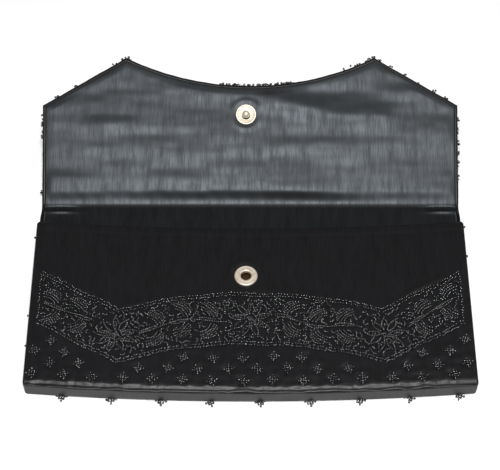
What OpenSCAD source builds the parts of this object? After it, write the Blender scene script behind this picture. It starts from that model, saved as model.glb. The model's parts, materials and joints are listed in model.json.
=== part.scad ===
// Evening clutch purse: stiffened satin panels, a folding flap with a scalloped edge,
// glass bead embroidery and a press snap. It lies on its back with the flap raised.
// Millimetres. +X runs along the mouth, +Y from the bottom edge to the flap's fold,
// +Z out of the front. The origin is the centre of the back, on the surface it rests on.

/* [Body] */
// Width of the purse
body_w = 250; // [230:1:270]
// Length of the back panel, from the bottom edge to the flap's fold
back_l = 127.4; // [124:0.1:131]
// Height of the front panel at its middle
front_h = 107.5; // [104:0.5:110]
// Thickness from the back satin to the front satin
body_t = 12; // [11:0.5:14]
// How far the bottom edge bows outwards at its middle
bottom_bow = 5; // [2:0.5:6]
// How far the mouth edge dips at its middle
mouth_dip = 5; // [2:0.5:6]
// Radius of the panels' corners
corner_r = 4; // [3:0.5:5]
// Depth of the side folds at the mouth
gusset_depth = 14; // [10:0.5:18]

/* [Flap] */
// Width of the flap
flap_w = 247; // [240:1:247]
// Angle at which the raised flap stands above the back
flap_angle = 29.5; // [20:0.5:35]
// Length of the flap at its side corners
flap_side_l = 58; // [54:0.5:60]
// Length of the flap at its two points
flap_point_l = 86.5; // [84:0.5:90]
// Length of the flap at the middle of its scallop
flap_mid_l = 70; // [66:0.5:74]
// Distance from the middle to each point
point_x = 74.6; // [70:0.1:78]
// Width of the rolled satin rim
rim_w = 2; // [1.5:0.1:2.5]

/* [Layers] */
// Thickness of the outer satin
satin_t = 0.4; // [0.3:0.05:0.5]
// Thickness of the fleece under the satin
fleece_t = 0.8; // [0.6:0.1:1]
// Thickness of the stiffening board
board_t = 1; // [0.8:0.1:1.2]
// Thickness of the lining
lining_t = 0.3; // [0.2:0.05:0.4]

/* [Snap] */
// Diameter of the socket half's flange
socket_d = 13.3; // [12:0.1:14]
// Diameter of the stud half's flange
stud_d = 12.2; // [11:0.1:13]
// Diameter of the ball on the stud
ball_d = 4.6; // [4:0.1:4.8]
// Diameter of the socket's bore
bore_d = 6; // [5.8:0.1:6.4]
// Sideways place of the snap
snap_x = -2.5; // [-5:0.5:5]
// Distance from the bottom edge to the socket's centre
snap_l = 74; // [72:0.1:76]

/* [Beads] */
// Diameter of a bead
bead_d = 1.5; // [1.4:0.1:1.6]
// Span of a bead cluster
cluster_d = 6.6; // [6:0.1:7]
// Sideways pitch of the clusters on the front
front_pitch = 16.5; // [15:0.5:18]
// Pitch between the rows of clusters on the front
front_row = 7; // [6:0.5:8]
// Sideways pitch of the clusters on the back and the flap
back_pitch = 27.5; // [24:0.5:30]
// Pitch between the rows of clusters on the back and the flap
back_row = 10; // [9:0.5:12]
// Width of the beaded borders
border_w = 3; // [2.5:0.5:3.5]
// Distance from the middle flower to the side flowers
flower_x = 75; // [72:1:78]
// Length of a flower's petal
petal_l = 11; // [9:0.5:12]

/* [Hidden] */

// Heights, from the surface it rests on. The beads under the back hold it up.
panel_t = satin_t + fleece_t + board_t + lining_t;
back_z = bead_d;
lining_z = back_z + panel_t;
front_z = back_z + body_t;
front_under_z = front_z - panel_t;
// Gap between the pieces of the front and the pieces under them
front_gap = 0.5;
bottom_top_z = front_under_z - front_gap;
// The fleece and the board stop short of a panel's edge.
fleece_inset = 3.5;
board_inset = 2;

// Lengths, along Y
bottom_y = -back_l / 2;
fold_y = back_l / 2;
mouth_mid_y = bottom_y + front_h;
mouth_end_y = mouth_mid_y + mouth_dip;
snap_y = bottom_y + snap_l;

// The flap's lining closes this far above the front, and mirrors about the fold's axis.
flap_clearance = 2.8;
axis_z = (front_z + flap_clearance + lining_z) / 2;
lining_r = axis_z - lining_z;
spine_r = axis_z - back_z;
// The flap's panels start just past the end of the spine.
flap_start = 0.4;
stud_l = fold_y - snap_y;

// Snap heights and wall sizes
socket_h = 1.3;
socket_tube_d = bore_d + 1.6;
socket_bevel = 0.5;
stud_h = 1.2;
stud_dish = 0.6;
ball_w = 2.7;
neck_d = 3;
rivet_d = 2;
rivet_head_d = 8;
rivet_head_h = 0.6;

// Steps in a curved edge
edge_steps = 24;
corner_steps = 6;

// Colours
satin = [0.10, 0.10, 0.11];
lining_grey = [0.36, 0.38, 0.39];
bead_black = [0.03, 0.03, 0.035];
board_grey = [0.62, 0.58, 0.50];
fleece_white = [0.85, 0.85, 0.83];
steel = [0.82, 0.81, 0.77];

// ---- outlines ----

// Bottom and mouth edges, as heights over the sideways distance x
function bottom_edge(x) = bottom_y + bottom_bow * pow(2 * x / body_w, 2);
function mouth_edge(x) = mouth_mid_y + mouth_dip * pow(2 * x / body_w, 2);
function fold_edge(x) = fold_y;

function corner(cx, cy, r, a) =
    [for (i = [0 : corner_steps]) let (t = a + 90 * i / corner_steps) [cx + r * cos(t), cy + r * sin(t)]];

// A panel of the body, inset by e, whose top is the mouth or the fold
function panel_points(e, at_mouth) = let (
    half = body_w / 2 - corner_r,
    low = bottom_edge(half) + corner_r,
    high = (at_mouth ? mouth_edge(half) : fold_edge(half)) - corner_r,
    r = corner_r - e
) concat(
    corner(-half, low, r, 180),
    [for (i = [1 : edge_steps - 1]) let (x = half * (2 * i / edge_steps - 1)) [x, bottom_edge(x) + e]],
    corner(half, low, r, 270),
    corner(half, high, r, 0),
    [for (i = [1 : edge_steps - 1]) let (x = half * (1 - 2 * i / edge_steps))
        [x, (at_mouth ? mouth_edge(x) : fold_edge(x)) - e]],
    corner(-half, high, r, 90)
);

// The scallop between the flap's points is an arc of a circle.
scallop_rise = flap_point_l - flap_mid_l;
scallop_r = (point_x * point_x + scallop_rise * scallop_rise) / (2 * scallop_rise);
function scallop(x) = flap_mid_l + scallop_r - sqrt(scallop_r * scallop_r - x * x);

// The flap's outline, inset by e along its free edges
function flap_points(e) = let (
    side = flap_w / 2 - e,
    slope = (flap_point_l - flap_side_l) / (flap_w / 2 - point_x),
    drop = e * sqrt(1 + slope * slope),
    tip = point_x - e * 0.2
) concat(
    [[-side, flap_start], [side, flap_start], [side, flap_side_l - drop + e * slope - 3]],
    [[side - 1, flap_side_l - drop + (e + 1) * slope], [tip + 2, flap_point_l - drop - 2 * slope]],
    [[tip, flap_point_l - drop - 0.2]],
    [for (i = [1 : edge_steps - 1]) let (x = (tip - 1.5) * (1 - 2 * i / edge_steps)) [x, scallop(x) - e]],
    [[-tip, flap_point_l - drop - 0.2]],
    [[-tip - 2, flap_point_l - drop - 2 * slope], [-side + 1, flap_side_l - drop + (e + 1) * slope]],
    [[-side, flap_side_l - drop + e * slope - 3]]
);

// ---- beadwork layout, in the plane of a panel ----

// Height of a beaded border: an arc between the flowers and a slope outside them
border_slope = 0.54;
border_x = 74;
function border_line(x, mid, dip) = let (
    s = mid - dip,
    r = (border_x * border_x + s * s) / (2 * s)
) abs(x) < border_x ? mid - r + sqrt(r * r - x * x) : dip + border_slope * (abs(x) - border_x);

// The borders' heights above the bottom edge, at the middle and at the flowers
upper_mid = 61.5;
upper_dip = 51;
lower_mid = 30.2;
lower_dip = 19;
border_end_x = 119;

function band_centre(x) = (border_line(x, upper_mid, upper_dip) + border_line(x, lower_mid, lower_dip)) / 2;
function stem_line(x) = band_centre(x) + 2 * sin(x * 7.2);

module border_strip(mid, dip, w) {
    n = 2 * edge_steps;
    xs = [for (i = [0 : n]) border_end_x * (2 * i / n - 1)];
    polygon(concat(
        [for (x = xs) [x, border_line(x, mid, dip) - w / 2]],
        [for (i = [n : -1 : 0]) [xs[i], border_line(xs[i], mid, dip) + w / 2]]
    ));
}

module flower() {
    petals = 9;
    circle(d = 4, $fn = 24);
    for (i = [0 : petals - 1])
        rotate(i * 360 / petals)
            translate([petal_l / 2 + 1, 0])
                leaf(petal_l, 3);
}

// A pointed leaf of length l and width w: the overlap of two circles
module leaf(l, w) {
    r = (l * l / 4 + w * w / 4) / w;
    intersection() {
        translate([0, r - w / 2])
            circle(r, $fn = 48);
        translate([0, w / 2 - r])
            circle(r, $fn = 48);
    }
}

module flowers() {
    for (side = [-1 : 1])
        translate([side * flower_x, band_centre(side * flower_x)])
            flower();
}

// Leaves stand in pairs along the stems, between the flowers and outside them.
leaf_x = [-112, -97, -53, -38, -23, 23, 38, 53, 97, 112];
module leaves() {
    for (x = leaf_x)
        for (up = [-1, 1])
            translate([x, stem_line(x) + up * 7])
                rotate(up * 40)
                    leaf(10, 4.5);
}

module stems() {
    n = 12;
    for (run = [[-116, -88], [-62, -14], [14, 62], [88, 116]]) {
        xs = [for (i = [0 : n]) run[0] + (run[1] - run[0]) * i / n];
        polygon(concat(
            [for (x = xs) [x, stem_line(x) - bead_d / 2]],
            [for (i = [n : -1 : 0]) [xs[i], stem_line(xs[i]) + bead_d / 2]]
        ));
    }
}

// A cross of beads, flat on both sides
module cluster() {
    linear_extrude(bead_d) {
        square([cluster_d, bead_d], center = true);
        square([bead_d, cluster_d], center = true);
    }
}

// Staggered crosses on the front, below the lower border
module front_cluster_field() {
    rows = 6;
    first = 7;
    cols = 8;
    for (row = [0 : rows - 1])
        for (col = [-cols : cols]) {
            x = front_pitch * (col + (row % 2 == 0 ? 0.75 : 0.25));
            y = first + row * front_row + bottom_bow * pow(2 * x / body_w, 2);
            if (abs(x) < body_w / 2 - 4 && y < border_line(x, lower_mid, lower_dip) - 5.8)
                translate([x, y, 0])
                    cluster();
        }
}

// Staggered crosses over a plain panel, from one row to another, about its middle
module plain_cluster_field(from_row, to_row) {
    cols = 4;
    for (row = [from_row : to_row]) {
        odd = abs(row) % 2;
        for (col = [-cols : cols - odd])
            translate([back_pitch * (col + odd / 2), row * back_row, 0])
                cluster();
    }
}

// ---- placing ----

module layer(z, t) {
    translate([0, 0, z])
        linear_extrude(t)
            children();
}

// The flap's own plane: Y runs from the fold, and Z = 0 is the face of its lining.
module on_flap() {
    translate([0, fold_y, axis_z])
        rotate([flap_angle, 0, 0])
            translate([0, 0, -lining_r])
                children();
}

// The outer face of the flap, seen from outside, with its beads standing on it
module on_flap_outside() {
    on_flap()
        translate([0, 0, -panel_t])
            mirror([0, 0, 1])
                children();
}

module snap_hole() {
    translate([snap_x, snap_y])
        circle(d = socket_tube_d + 0.04, $fn = 48);
}

module front_layer(z, t, e) {
    layer(z, t)
        difference() {
            polygon(panel_points(e, true));
            snap_hole();
        }
}

// ---- back ----

module back_satin() color(satin)
    layer(back_z, satin_t)
        polygon(panel_points(0, false));

module back_fleece() color(fleece_white)
    layer(back_z + satin_t, fleece_t)
        polygon(panel_points(fleece_inset, false));

module back_board() color(board_grey)
    layer(back_z + satin_t + fleece_t, board_t)
        polygon(panel_points(board_inset, false));

module back_lining() color(lining_grey)
    layer(lining_z - lining_t, lining_t)
        polygon(panel_points(satin_t, false));

// ---- bottom: a wall that follows the bowed edge and turns in at the corners ----

module bottom_wall(outer, inner, z) {
    layer(z, bottom_top_z - z)
        intersection() {
            difference() {
                polygon(panel_points(outer, false));
                polygon(panel_points(inner, false));
            }
            translate([-body_w / 2, bottom_y])
                square([body_w, bottom_bow + corner_r]);
        }
}

module bottom_satin() color(satin)
    bottom_wall(0, satin_t, back_z + satin_t);

module bottom_board() color(board_grey)
    bottom_wall(satin_t, satin_t + board_t, lining_z);

module bottom_lining() color(lining_grey)
    bottom_wall(satin_t + board_t, satin_t + board_t + lining_t, lining_z);

// ---- side folds: flat at the bottom, folded inwards at the mouth ----

module thin_triangle(a, b, c, t) {
    hull()
        for (p = [a, b, c])
            translate(p)
                cube(t, center = true);
}

// One side's fold: t thick, clear of the panels by z_in, set in by x_in and this deep
module gusset(side, x_in, z_in, depth, t) {
    margin = t / 2 + 0.05;
    low_z = lining_z + margin + z_in;
    high_z = bottom_top_z - margin - z_in;
    mid_z = (low_z + high_z) / 2;
    x = body_w / 2 - satin_t - x_in - t;
    start = bottom_y + bottom_bow + corner_r + 1;
    end = mouth_end_y - corner_r - 1;
    for (z = [low_z, high_z]) {
        thin_triangle([side * x, start, z], [side * x, end, z], [side * (x - depth), end, mid_z], t);
        thin_triangle([side * x, start, z], [side * (x - depth), end, mid_z], [side * x, start, mid_z], t);
    }
}

// The satin is inside the fold, and the lining lies round it, on the pocket's side.
module outer_gusset(side) color(satin)
    gusset(side, 0, 0.7, gusset_depth, satin_t);
module gusset_lining(side) color(lining_grey)
    gusset(side, 0.6, 0, gusset_depth + 1.8, lining_t);

module left_gusset() outer_gusset(-1);
module right_gusset() outer_gusset(1);
module left_gusset_lining() gusset_lining(-1);
module right_gusset_lining() gusset_lining(1);

// ---- spine: the soft strip that bends where the flap folds ----

module spine_arc(r_out, t) {
    translate([-flap_w / 2, fold_y, axis_z])
        rotate([90, 0, 90])
            linear_extrude(flap_w)
                intersection() {
                    difference() {
                        circle(r_out, $fn = 96);
                        circle(r_out - t, $fn = 96);
                    }
                    polygon([[0, 0], [0, -2 * r_out], [2 * r_out * sin(flap_angle), -2 * r_out * cos(flap_angle)]]);
                }
}

module spine_satin() color(satin)
    spine_arc(spine_r, satin_t);

module spine_lining() color(lining_grey)
    spine_arc(lining_r + lining_t, lining_t);

// ---- back and edge clusters ----

module back_clusters() color(bead_black)
    plain_cluster_field(-5, 5);

// Crosses that straddle the back's bottom edge and its sides
edge_cluster_x = 5.5;
edge_inset = 0.6;
left_cluster_y = [-27, -8.5, 45];
right_cluster_y = [31.5, 53];
module edge_clusters() color(bead_black) {
    for (col = [-4 : 4]) {
        x = edge_cluster_x + back_pitch * col;
        translate([x, bottom_edge(x) + edge_inset, 0])
            cluster();
    }
    for (y = left_cluster_y)
        translate([edge_inset - body_w / 2, y, 0])
            cluster();
    for (y = right_cluster_y)
        translate([body_w / 2 - edge_inset, y, 0])
            cluster();
}

// ---- front ----

module front_satin() color(satin)
    front_layer(front_z - satin_t, satin_t, 0);

module front_fleece() color(fleece_white)
    front_layer(front_z - satin_t - fleece_t, fleece_t, fleece_inset);

module front_board() color(board_grey)
    front_layer(front_under_z + lining_t, board_t, board_inset);

module front_lining() color(lining_grey)
    front_layer(front_under_z, lining_t, satin_t);

// The satin turned over the mouth's edge, inside the front
mouth_hem_w = 8;
module mouth_hem() color(satin)
    layer(front_under_z - satin_t, satin_t)
        intersection() {
            polygon(panel_points(2 * satin_t, true));
            translate([-body_w / 2 + 12, mouth_mid_y - mouth_hem_w])
                square([body_w - 24, mouth_hem_w + mouth_dip]);
        }

module front_beads() {
    color(bead_black)
        translate([0, bottom_y, front_z])
            linear_extrude(bead_d)
                children();
}

module front_bead_borders() front_beads() {
    border_strip(upper_mid, upper_dip, border_w);
    border_strip(lower_mid, lower_dip, border_w);
}

module front_bead_flowers() front_beads() flowers();
module front_bead_leaves() front_beads() leaves();
module front_bead_stems() front_beads() stems();

module front_clusters() color(bead_black)
    translate([0, bottom_y, front_z])
        front_cluster_field();

// ---- snap socket: a flange on the satin, a tube through the panel and a cap behind ----

module snap_socket() color(steel)
    translate([snap_x, snap_y, 0])
        rotate_extrude($fn = 64)
            polygon([
                [bore_d / 2, front_under_z],
                [socket_tube_d / 2, front_under_z],
                [socket_tube_d / 2, front_z],
                [socket_d / 2, front_z],
                [socket_d / 2, front_z + socket_h - socket_bevel],
                [socket_d / 2 - socket_bevel, front_z + socket_h],
                [bore_d / 2 + 0.3, front_z + socket_h],
                [bore_d / 2, front_z + socket_h - 0.3]
            ]);

module snap_spring() color(steel)
    translate([snap_x, snap_y, front_z - 0.7])
        rotate_extrude($fn = 48)
            translate([bore_d / 2 - 0.22, 0])
                circle(0.2, $fn = 16);

module snap_socket_cap() color(steel)
    translate([snap_x, snap_y, front_under_z - 0.4])
        cylinder(d = 10, h = 0.4, $fn = 64);

// ---- flap ----

// One layer of the flap inside its rim, at depth w under the lining's face, with the rivet's hole
module flap_layer(w, t, hole_d) {
    on_flap()
        translate([0, 0, -w - t])
            linear_extrude(t)
                difference() {
                    polygon(flap_points(rim_w));
                    if (hole_d > 0)
                        translate([snap_x, stud_l])
                            circle(d = hole_d + 0.06, $fn = 48);
                }
}

module flap_lining() color(lining_grey)
    flap_layer(0, lining_t, rivet_d);

module flap_board() color(board_grey)
    flap_layer(lining_t, board_t, rivet_d);

module flap_fleece() color(fleece_white)
    flap_layer(lining_t + board_t, fleece_t, rivet_head_d);

module flap_satin() color(satin)
    flap_layer(lining_t + board_t + fleece_t, satin_t, 0);

// The rolled rim runs round the sides and the free edge, over the ends of the layers.
rim_rise = 0.2;
module flap_edge_roll() color(satin)
    on_flap()
        translate([0, 0, -panel_t])
            linear_extrude(panel_t + rim_rise)
                difference() {
                    polygon(flap_points(0));
                    polygon(flap_points(rim_w));
                    translate([-flap_w / 2 + rim_w, -1])
                        square([flap_w - 2 * rim_w, 3]);
                }

// The flap's beads mirror those of the front, so that the bands run on under each other.
flap_edge_inset = 4;
module flap_beads() {
    color(bead_black)
        on_flap_outside()
            translate([0, flap_mid_l - flap_edge_inset, 0])
                linear_extrude(bead_d)
                    mirror([0, 1])
                        translate([0, -lower_mid])
                            children();
}

module flap_bead_borders() flap_beads() {
    border_strip(upper_mid, upper_dip, border_w);
    border_strip(lower_mid, lower_dip, border_w);
}

module flap_bead_flowers() flap_beads() flowers();
module flap_bead_leaves() flap_beads() leaves();
module flap_bead_stems() flap_beads() stems();

module flap_clusters() color(bead_black)
    on_flap_outside()
        translate([0, 3 * back_row / 2, 0])
            plain_cluster_field(0, 1);

// ---- snap stud: a dished flange on the lining, with a ball on a neck ----

module snap_stud() color(steel)
    on_flap()
        translate([snap_x, stud_l, 0])
            rotate_extrude($fn = 64)
                union() {
                    polygon([
                        [0, 0],
                        [stud_d / 2, 0],
                        [stud_d / 2, stud_h - 0.4],
                        [stud_d / 2 - 0.4, stud_h],
                        [stud_d / 2 - 0.9, stud_h],
                        [stud_d / 2 - 1.3, stud_dish],
                        [neck_d / 2, stud_dish],
                        [neck_d / 2, ball_w],
                        [0, ball_w]
                    ]);
                    intersection() {
                        translate([0, ball_w])
                            circle(d = ball_d, $fn = 48);
                        translate([0, ball_w - ball_d / 2])
                            square([ball_d, ball_d]);
                    }
                }

// The rivet holds the stud through the board. Its head lies in the fleece, under the satin.
module snap_stud_rivet() color(steel)
    on_flap()
        translate([snap_x, stud_l, -lining_t - board_t]) {
            cylinder(d = rivet_d, h = lining_t + board_t, $fn = 32);
            translate([0, 0, -rivet_head_h])
                cylinder(d = rivet_head_d, h = rivet_head_h, $fn = 48);
        }

// ---- drawing ----

back_satin();
back_fleece();
back_board();
back_lining();
bottom_satin();
bottom_board();
bottom_lining();
left_gusset();
right_gusset();
left_gusset_lining();
right_gusset_lining();
spine_satin();
spine_lining();
back_clusters();
edge_clusters();
front_satin();
front_fleece();
front_board();
front_lining();
mouth_hem();
front_bead_borders();
front_bead_flowers();
front_bead_leaves();
front_bead_stems();
front_clusters();
snap_socket();
snap_spring();
snap_socket_cap();
flap_satin();
flap_fleece();
flap_board();
flap_lining();
flap_edge_roll();
flap_bead_borders();
flap_bead_flowers();
flap_bead_leaves();
flap_bead_stems();
flap_clusters();
snap_stud();
snap_stud_rivet();
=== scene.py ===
"""Evening clutch purse: satin, lining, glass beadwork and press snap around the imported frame.

Lengths inside the functions are millimetres, and a mesh is turned to metres when it is made.
A panel's own coordinates are x, sideways, and run, the length along the cloth.
"""

import json
import math
import random

import bmesh
import bpy
import numpy as np
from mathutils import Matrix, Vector


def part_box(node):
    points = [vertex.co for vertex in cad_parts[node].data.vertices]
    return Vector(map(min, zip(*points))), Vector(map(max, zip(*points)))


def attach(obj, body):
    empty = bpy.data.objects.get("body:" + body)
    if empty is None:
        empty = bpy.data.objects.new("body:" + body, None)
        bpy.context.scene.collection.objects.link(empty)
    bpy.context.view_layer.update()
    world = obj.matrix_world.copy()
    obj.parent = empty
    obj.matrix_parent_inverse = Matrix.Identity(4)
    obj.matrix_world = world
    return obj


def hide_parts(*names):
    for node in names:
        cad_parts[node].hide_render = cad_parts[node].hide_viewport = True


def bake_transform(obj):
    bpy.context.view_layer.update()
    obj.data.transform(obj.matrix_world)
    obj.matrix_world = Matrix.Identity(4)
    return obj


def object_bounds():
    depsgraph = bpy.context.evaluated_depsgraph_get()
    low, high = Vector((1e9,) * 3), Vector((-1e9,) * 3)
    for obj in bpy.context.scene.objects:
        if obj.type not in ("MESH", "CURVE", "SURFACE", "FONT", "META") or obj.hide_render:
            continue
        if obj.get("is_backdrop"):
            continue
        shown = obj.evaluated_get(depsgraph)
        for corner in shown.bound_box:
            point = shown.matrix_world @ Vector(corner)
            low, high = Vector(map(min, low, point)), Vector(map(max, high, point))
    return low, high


bl_info = {
    "name": "Evening Clutch Purse",
    "version": (1, 0, 0),
    "blender": (4, 5, 0),
    "location": "View3D > Sidebar > Clutch",
    "description": "Dresses the frame of an evening clutch in satin, lining, glass beads and a snap",
    "category": "Add Mesh",
}

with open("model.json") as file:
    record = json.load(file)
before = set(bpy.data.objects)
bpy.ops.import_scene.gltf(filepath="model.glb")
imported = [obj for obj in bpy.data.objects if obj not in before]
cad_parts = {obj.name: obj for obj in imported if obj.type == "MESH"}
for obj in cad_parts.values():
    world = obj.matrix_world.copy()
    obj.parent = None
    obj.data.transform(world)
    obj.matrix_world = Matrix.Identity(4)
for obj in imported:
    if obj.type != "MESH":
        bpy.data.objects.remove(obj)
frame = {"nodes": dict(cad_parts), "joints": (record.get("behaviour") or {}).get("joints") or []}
CAD_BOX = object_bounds()
MM = 0.001


def edge_of(node, high, axis):
    """A side of a CAD node's box, in millimetres."""
    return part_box(node)[1 if high else 0][axis] / MM


# ---- sizes that the frame gives ----

HALF_W = edge_of("back_satin", True, 0)
FOLD_Y = edge_of("back_satin", True, 1)
BOTTOM_Y = edge_of("back_satin", False, 1)
BACK_Z = edge_of("back_satin", False, 2)
LINING_Z = edge_of("back_lining", True, 2)
FRONT_Z = edge_of("front_satin", True, 2)
FLEECE_EDGE = HALF_W - edge_of("front_fleece", True, 0)
FLEECE_TOP = edge_of("front_fleece", True, 2) - FRONT_Z
BOARD_EDGE = HALF_W - edge_of("front_board", True, 0)
BOARD_TOP = edge_of("front_board", True, 2) - FRONT_Z
UNDER_Z = edge_of("front_lining", False, 2)
FLAP_SLACK = 1.0  # how far the soft rim stands out past the board layers
FLAP_HALF_W = edge_of("flap_edge_roll", True, 0) + FLAP_SLACK
PANEL_T = LINING_Z - BACK_Z
ROLL = PANEL_T / 2  # radius of the satin's turn round a panel's edge
FOLD_JOINT = next(j for j in frame["joints"] if j["name"] == "flap_fold")
AXIS_Z = FOLD_JOINT["pos_m"][2] / MM
OUTER_R = AXIS_Z - BACK_Z
SNAP_X = (edge_of("snap_socket", True, 0) + edge_of("snap_socket", False, 0)) / 2
SNAP_Y = (edge_of("snap_socket", True, 1) + edge_of("snap_socket", False, 1)) / 2
STUD_RUN = FOLD_Y - SNAP_Y
FOLDS_START = BOTTOM_Y + 9.5  # where the side folds start, above the bottom wall


# ---- sizes and colours that a user can change ----


class ClutchSizes(bpy.types.PropertyGroup):
    """Sizes of the purse's soft parts, in metres."""

    flap_angle: bpy.props.FloatProperty(
        name="Flap angle",
        description="How far the flap stands up",
        default=math.radians(29.5),
        subtype="ANGLE",
    )
    side_run: bpy.props.FloatProperty(
        name="Flap side", description="Length of the flap at its sides", default=0.059, unit="LENGTH"
    )
    point_run: bpy.props.FloatProperty(
        name="Flap point", description="Length of the flap at its points", default=0.0878, unit="LENGTH"
    )
    middle_run: bpy.props.FloatProperty(
        name="Flap middle", description="Length of the flap in the scallop", default=0.0710, unit="LENGTH"
    )
    point_x: bpy.props.FloatProperty(
        name="Point offset", description="Distance from the middle to a point", default=0.0746, unit="LENGTH"
    )
    bottom_bow: bpy.props.FloatProperty(
        name="Bottom bow", description="How far the bottom edge bows out", default=0.005, unit="LENGTH"
    )
    mouth_dip: bpy.props.FloatProperty(
        name="Mouth dip", description="How far the mouth dips", default=0.005, unit="LENGTH"
    )
    corner: bpy.props.FloatProperty(
        name="Corner radius", description="Radius of the panels' corners", default=0.0018, unit="LENGTH"
    )
    fold_depth: bpy.props.FloatProperty(
        name="Side fold", description="Depth of the side folds at the mouth", default=0.014, unit="LENGTH"
    )
    rim: bpy.props.FloatProperty(
        name="Rim", description="Width of the flap's rolled rim", default=0.0014, unit="LENGTH"
    )


class ClutchBeads(bpy.types.PropertyGroup):
    """Sizes of the glass beads and of the bands they are sewn in."""

    radius: bpy.props.FloatProperty(
        name="Bead radius", description="Radius of a seed bead", default=0.00075, unit="LENGTH", precision=5
    )
    pitch: bpy.props.FloatProperty(
        name="Bead pitch",
        description="Distance between beads on a thread",
        default=0.00124,
        unit="LENGTH",
        precision=5,
    )
    cross: bpy.props.FloatProperty(
        name="Cross", description="Span of a cross of beads", default=0.0066, unit="LENGTH", precision=4
    )
    seed: bpy.props.IntProperty(
        name="Seed", description="Picks the small unevennesses of the sewing", default=11
    )


class ClutchColours(bpy.types.PropertyGroup):
    """Base colours of the finishes."""

    satin: bpy.props.FloatVectorProperty(
        name="Satin", description="The outer satin", default=(0.0062, 0.0062, 0.0068), subtype="COLOR"
    )
    lining: bpy.props.FloatVectorProperty(
        name="Lining", description="The lining satin", default=(0.0040, 0.0042, 0.0044), subtype="COLOR"
    )
    beads: bpy.props.FloatVectorProperty(
        name="Beads", description="The glass beads", default=(0.004, 0.004, 0.005), subtype="COLOR"
    )
    metal: bpy.props.FloatVectorProperty(
        name="Metal", description="The plated snap", default=(0.79, 0.70, 0.59), subtype="COLOR"
    )
    spring: bpy.props.FloatVectorProperty(
        name="Spring", description="The snap's brass spring", default=(0.42, 0.27, 0.12), subtype="COLOR"
    )


def sizes():
    """The sizes in the sidebar."""
    return bpy.context.scene.clutch_sizes


def beads():
    """The bead sizes in the sidebar."""
    return bpy.context.scene.clutch_beads


def colours():
    """The colours in the sidebar."""
    return bpy.context.scene.clutch_colours


# ---- smooth shapes ----


def ease(t):
    """0 to 1 with soft ends."""
    t = np.clip(t, 0.0, 1.0)
    return t * t * (3 - 2 * t)


def hump(x, middle, width):
    """A bell of height 1."""
    return np.exp(-(((x - middle) / width) ** 2))


def ripple(x, y, size_x, size_y, seed):
    """Smooth noise from -1 to 1 whose lumps are size_x by size_y."""
    u, v = np.asarray(x) / size_x + 50.3, np.asarray(y) / size_y + 50.7
    i, j = np.floor(u), np.floor(v)

    def corner(a, b):
        n = np.sin(a * 127.1 + b * 311.7 + seed * 74.7) * 43758.5453
        return (n - np.floor(n)) * 2 - 1

    fu, fv = ease(u - i), ease(v - j)
    low = corner(i, j) * (1 - fu) + corner(i + 1, j) * fu
    high = corner(i, j + 1) * (1 - fu) + corner(i + 1, j + 1) * fu
    return low * (1 - fv) + high * fv


def graded(low, high, step, dense=()):
    """Even steps from low to high that include the values in dense."""
    stops = sorted({low, high, *[d for d in dense if low < d < high]})
    out = [low]
    for a, b in zip(stops, stops[1:]):
        n = max(1, round((b - a) / step))
        out += [a + (b - a) * k / n for k in range(1, n + 1)]
    return np.array(out)


# ---- outlines ----


def bottom_edge(x):
    """The bowed bottom edge of the front and the back."""
    return BOTTOM_Y + sizes().bottom_bow / MM * (x / HALF_W) ** 2


def mouth_edge(x):
    """The dipped edge of the mouth."""
    middle = edge_of("front_satin", True, 1) - sizes().mouth_dip / MM
    return middle + sizes().mouth_dip / MM * (x / HALF_W) ** 2


def panel_end(x, inset, edge, up):
    """A body panel's end at x, with its round corners: up is 1 at the mouth and -1 at the bottom."""
    r = sizes().corner / MM
    half = HALF_W - r
    beyond = np.clip(np.abs(x) - half, 0, r - inset)
    arc = edge(half) - up * (r - np.sqrt(np.maximum((r - inset) ** 2 - beyond**2, 0)))
    return np.where(np.abs(x) > half, arc, edge(x) - up * inset)


def round_columns(inset, step, extra):
    """Columns from side to side that are close together on the round corners."""
    r = sizes().corner / MM
    flat = HALF_W - r
    turn = [flat + (r - inset) * math.sin(math.radians(a)) for a in (18, 34, 49, 62, 73, 82, 90)]
    middle = graded(-flat, flat, step, extra)
    return np.array([-t for t in reversed(turn)] + list(middle) + turn)


def flap_columns(columns, side, half):
    """A body panel's columns spread out to the flap's sides, and left alone between its points."""
    return np.where(np.abs(columns) > sizes().point_x / MM + 1, columns * side / half, columns)


def rows_to(start, end, count):
    """Even rows after start, the last one on end."""
    return [start + (end - start) * k / count for k in range(1, count + 1)]


def rows_round_fold(first, last, margin, body_rows, step, flap_rows):
    """Rows from the body over the fold to the flap's edge, a step apart round the fold."""
    bend = graded(-margin, arc_length() + margin, step)
    rows = [first, *rows_to(first, -margin, body_rows)]
    rows += [stop + 0 * first for stop in bend[1:]]
    return np.array(rows + rows_to(bend[-1], last, flap_rows))


def over_fold(columns, spread, run):
    """x of each grid point: the body's columns before the fold, the flap's past it."""
    taper = ease((run + 7) / 6.5)
    return columns[None, :] * (1 - taper) + spread[None, :] * taper


def flap_edge(x):
    """Length of the flap at x, from the fold to its free edge."""
    s = sizes()
    side, point, middle, px = (v / MM for v in (s.side_run, s.point_run, s.middle_run, s.point_x))
    rise = point - middle
    r = (px * px + rise * rise) / (2 * rise)
    scallop = middle + r - np.sqrt(np.maximum(r * r - np.minimum(np.abs(x), px) ** 2, 0))
    slope = (point - side) / (FLAP_HALF_W - px)
    return np.where(np.abs(x) < px, scallop, point - slope * (np.abs(x) - px))


# ---- places ----


def arc_length():
    """Length of the outer cloth round the fold."""
    return OUTER_R * sizes().flap_angle


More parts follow.
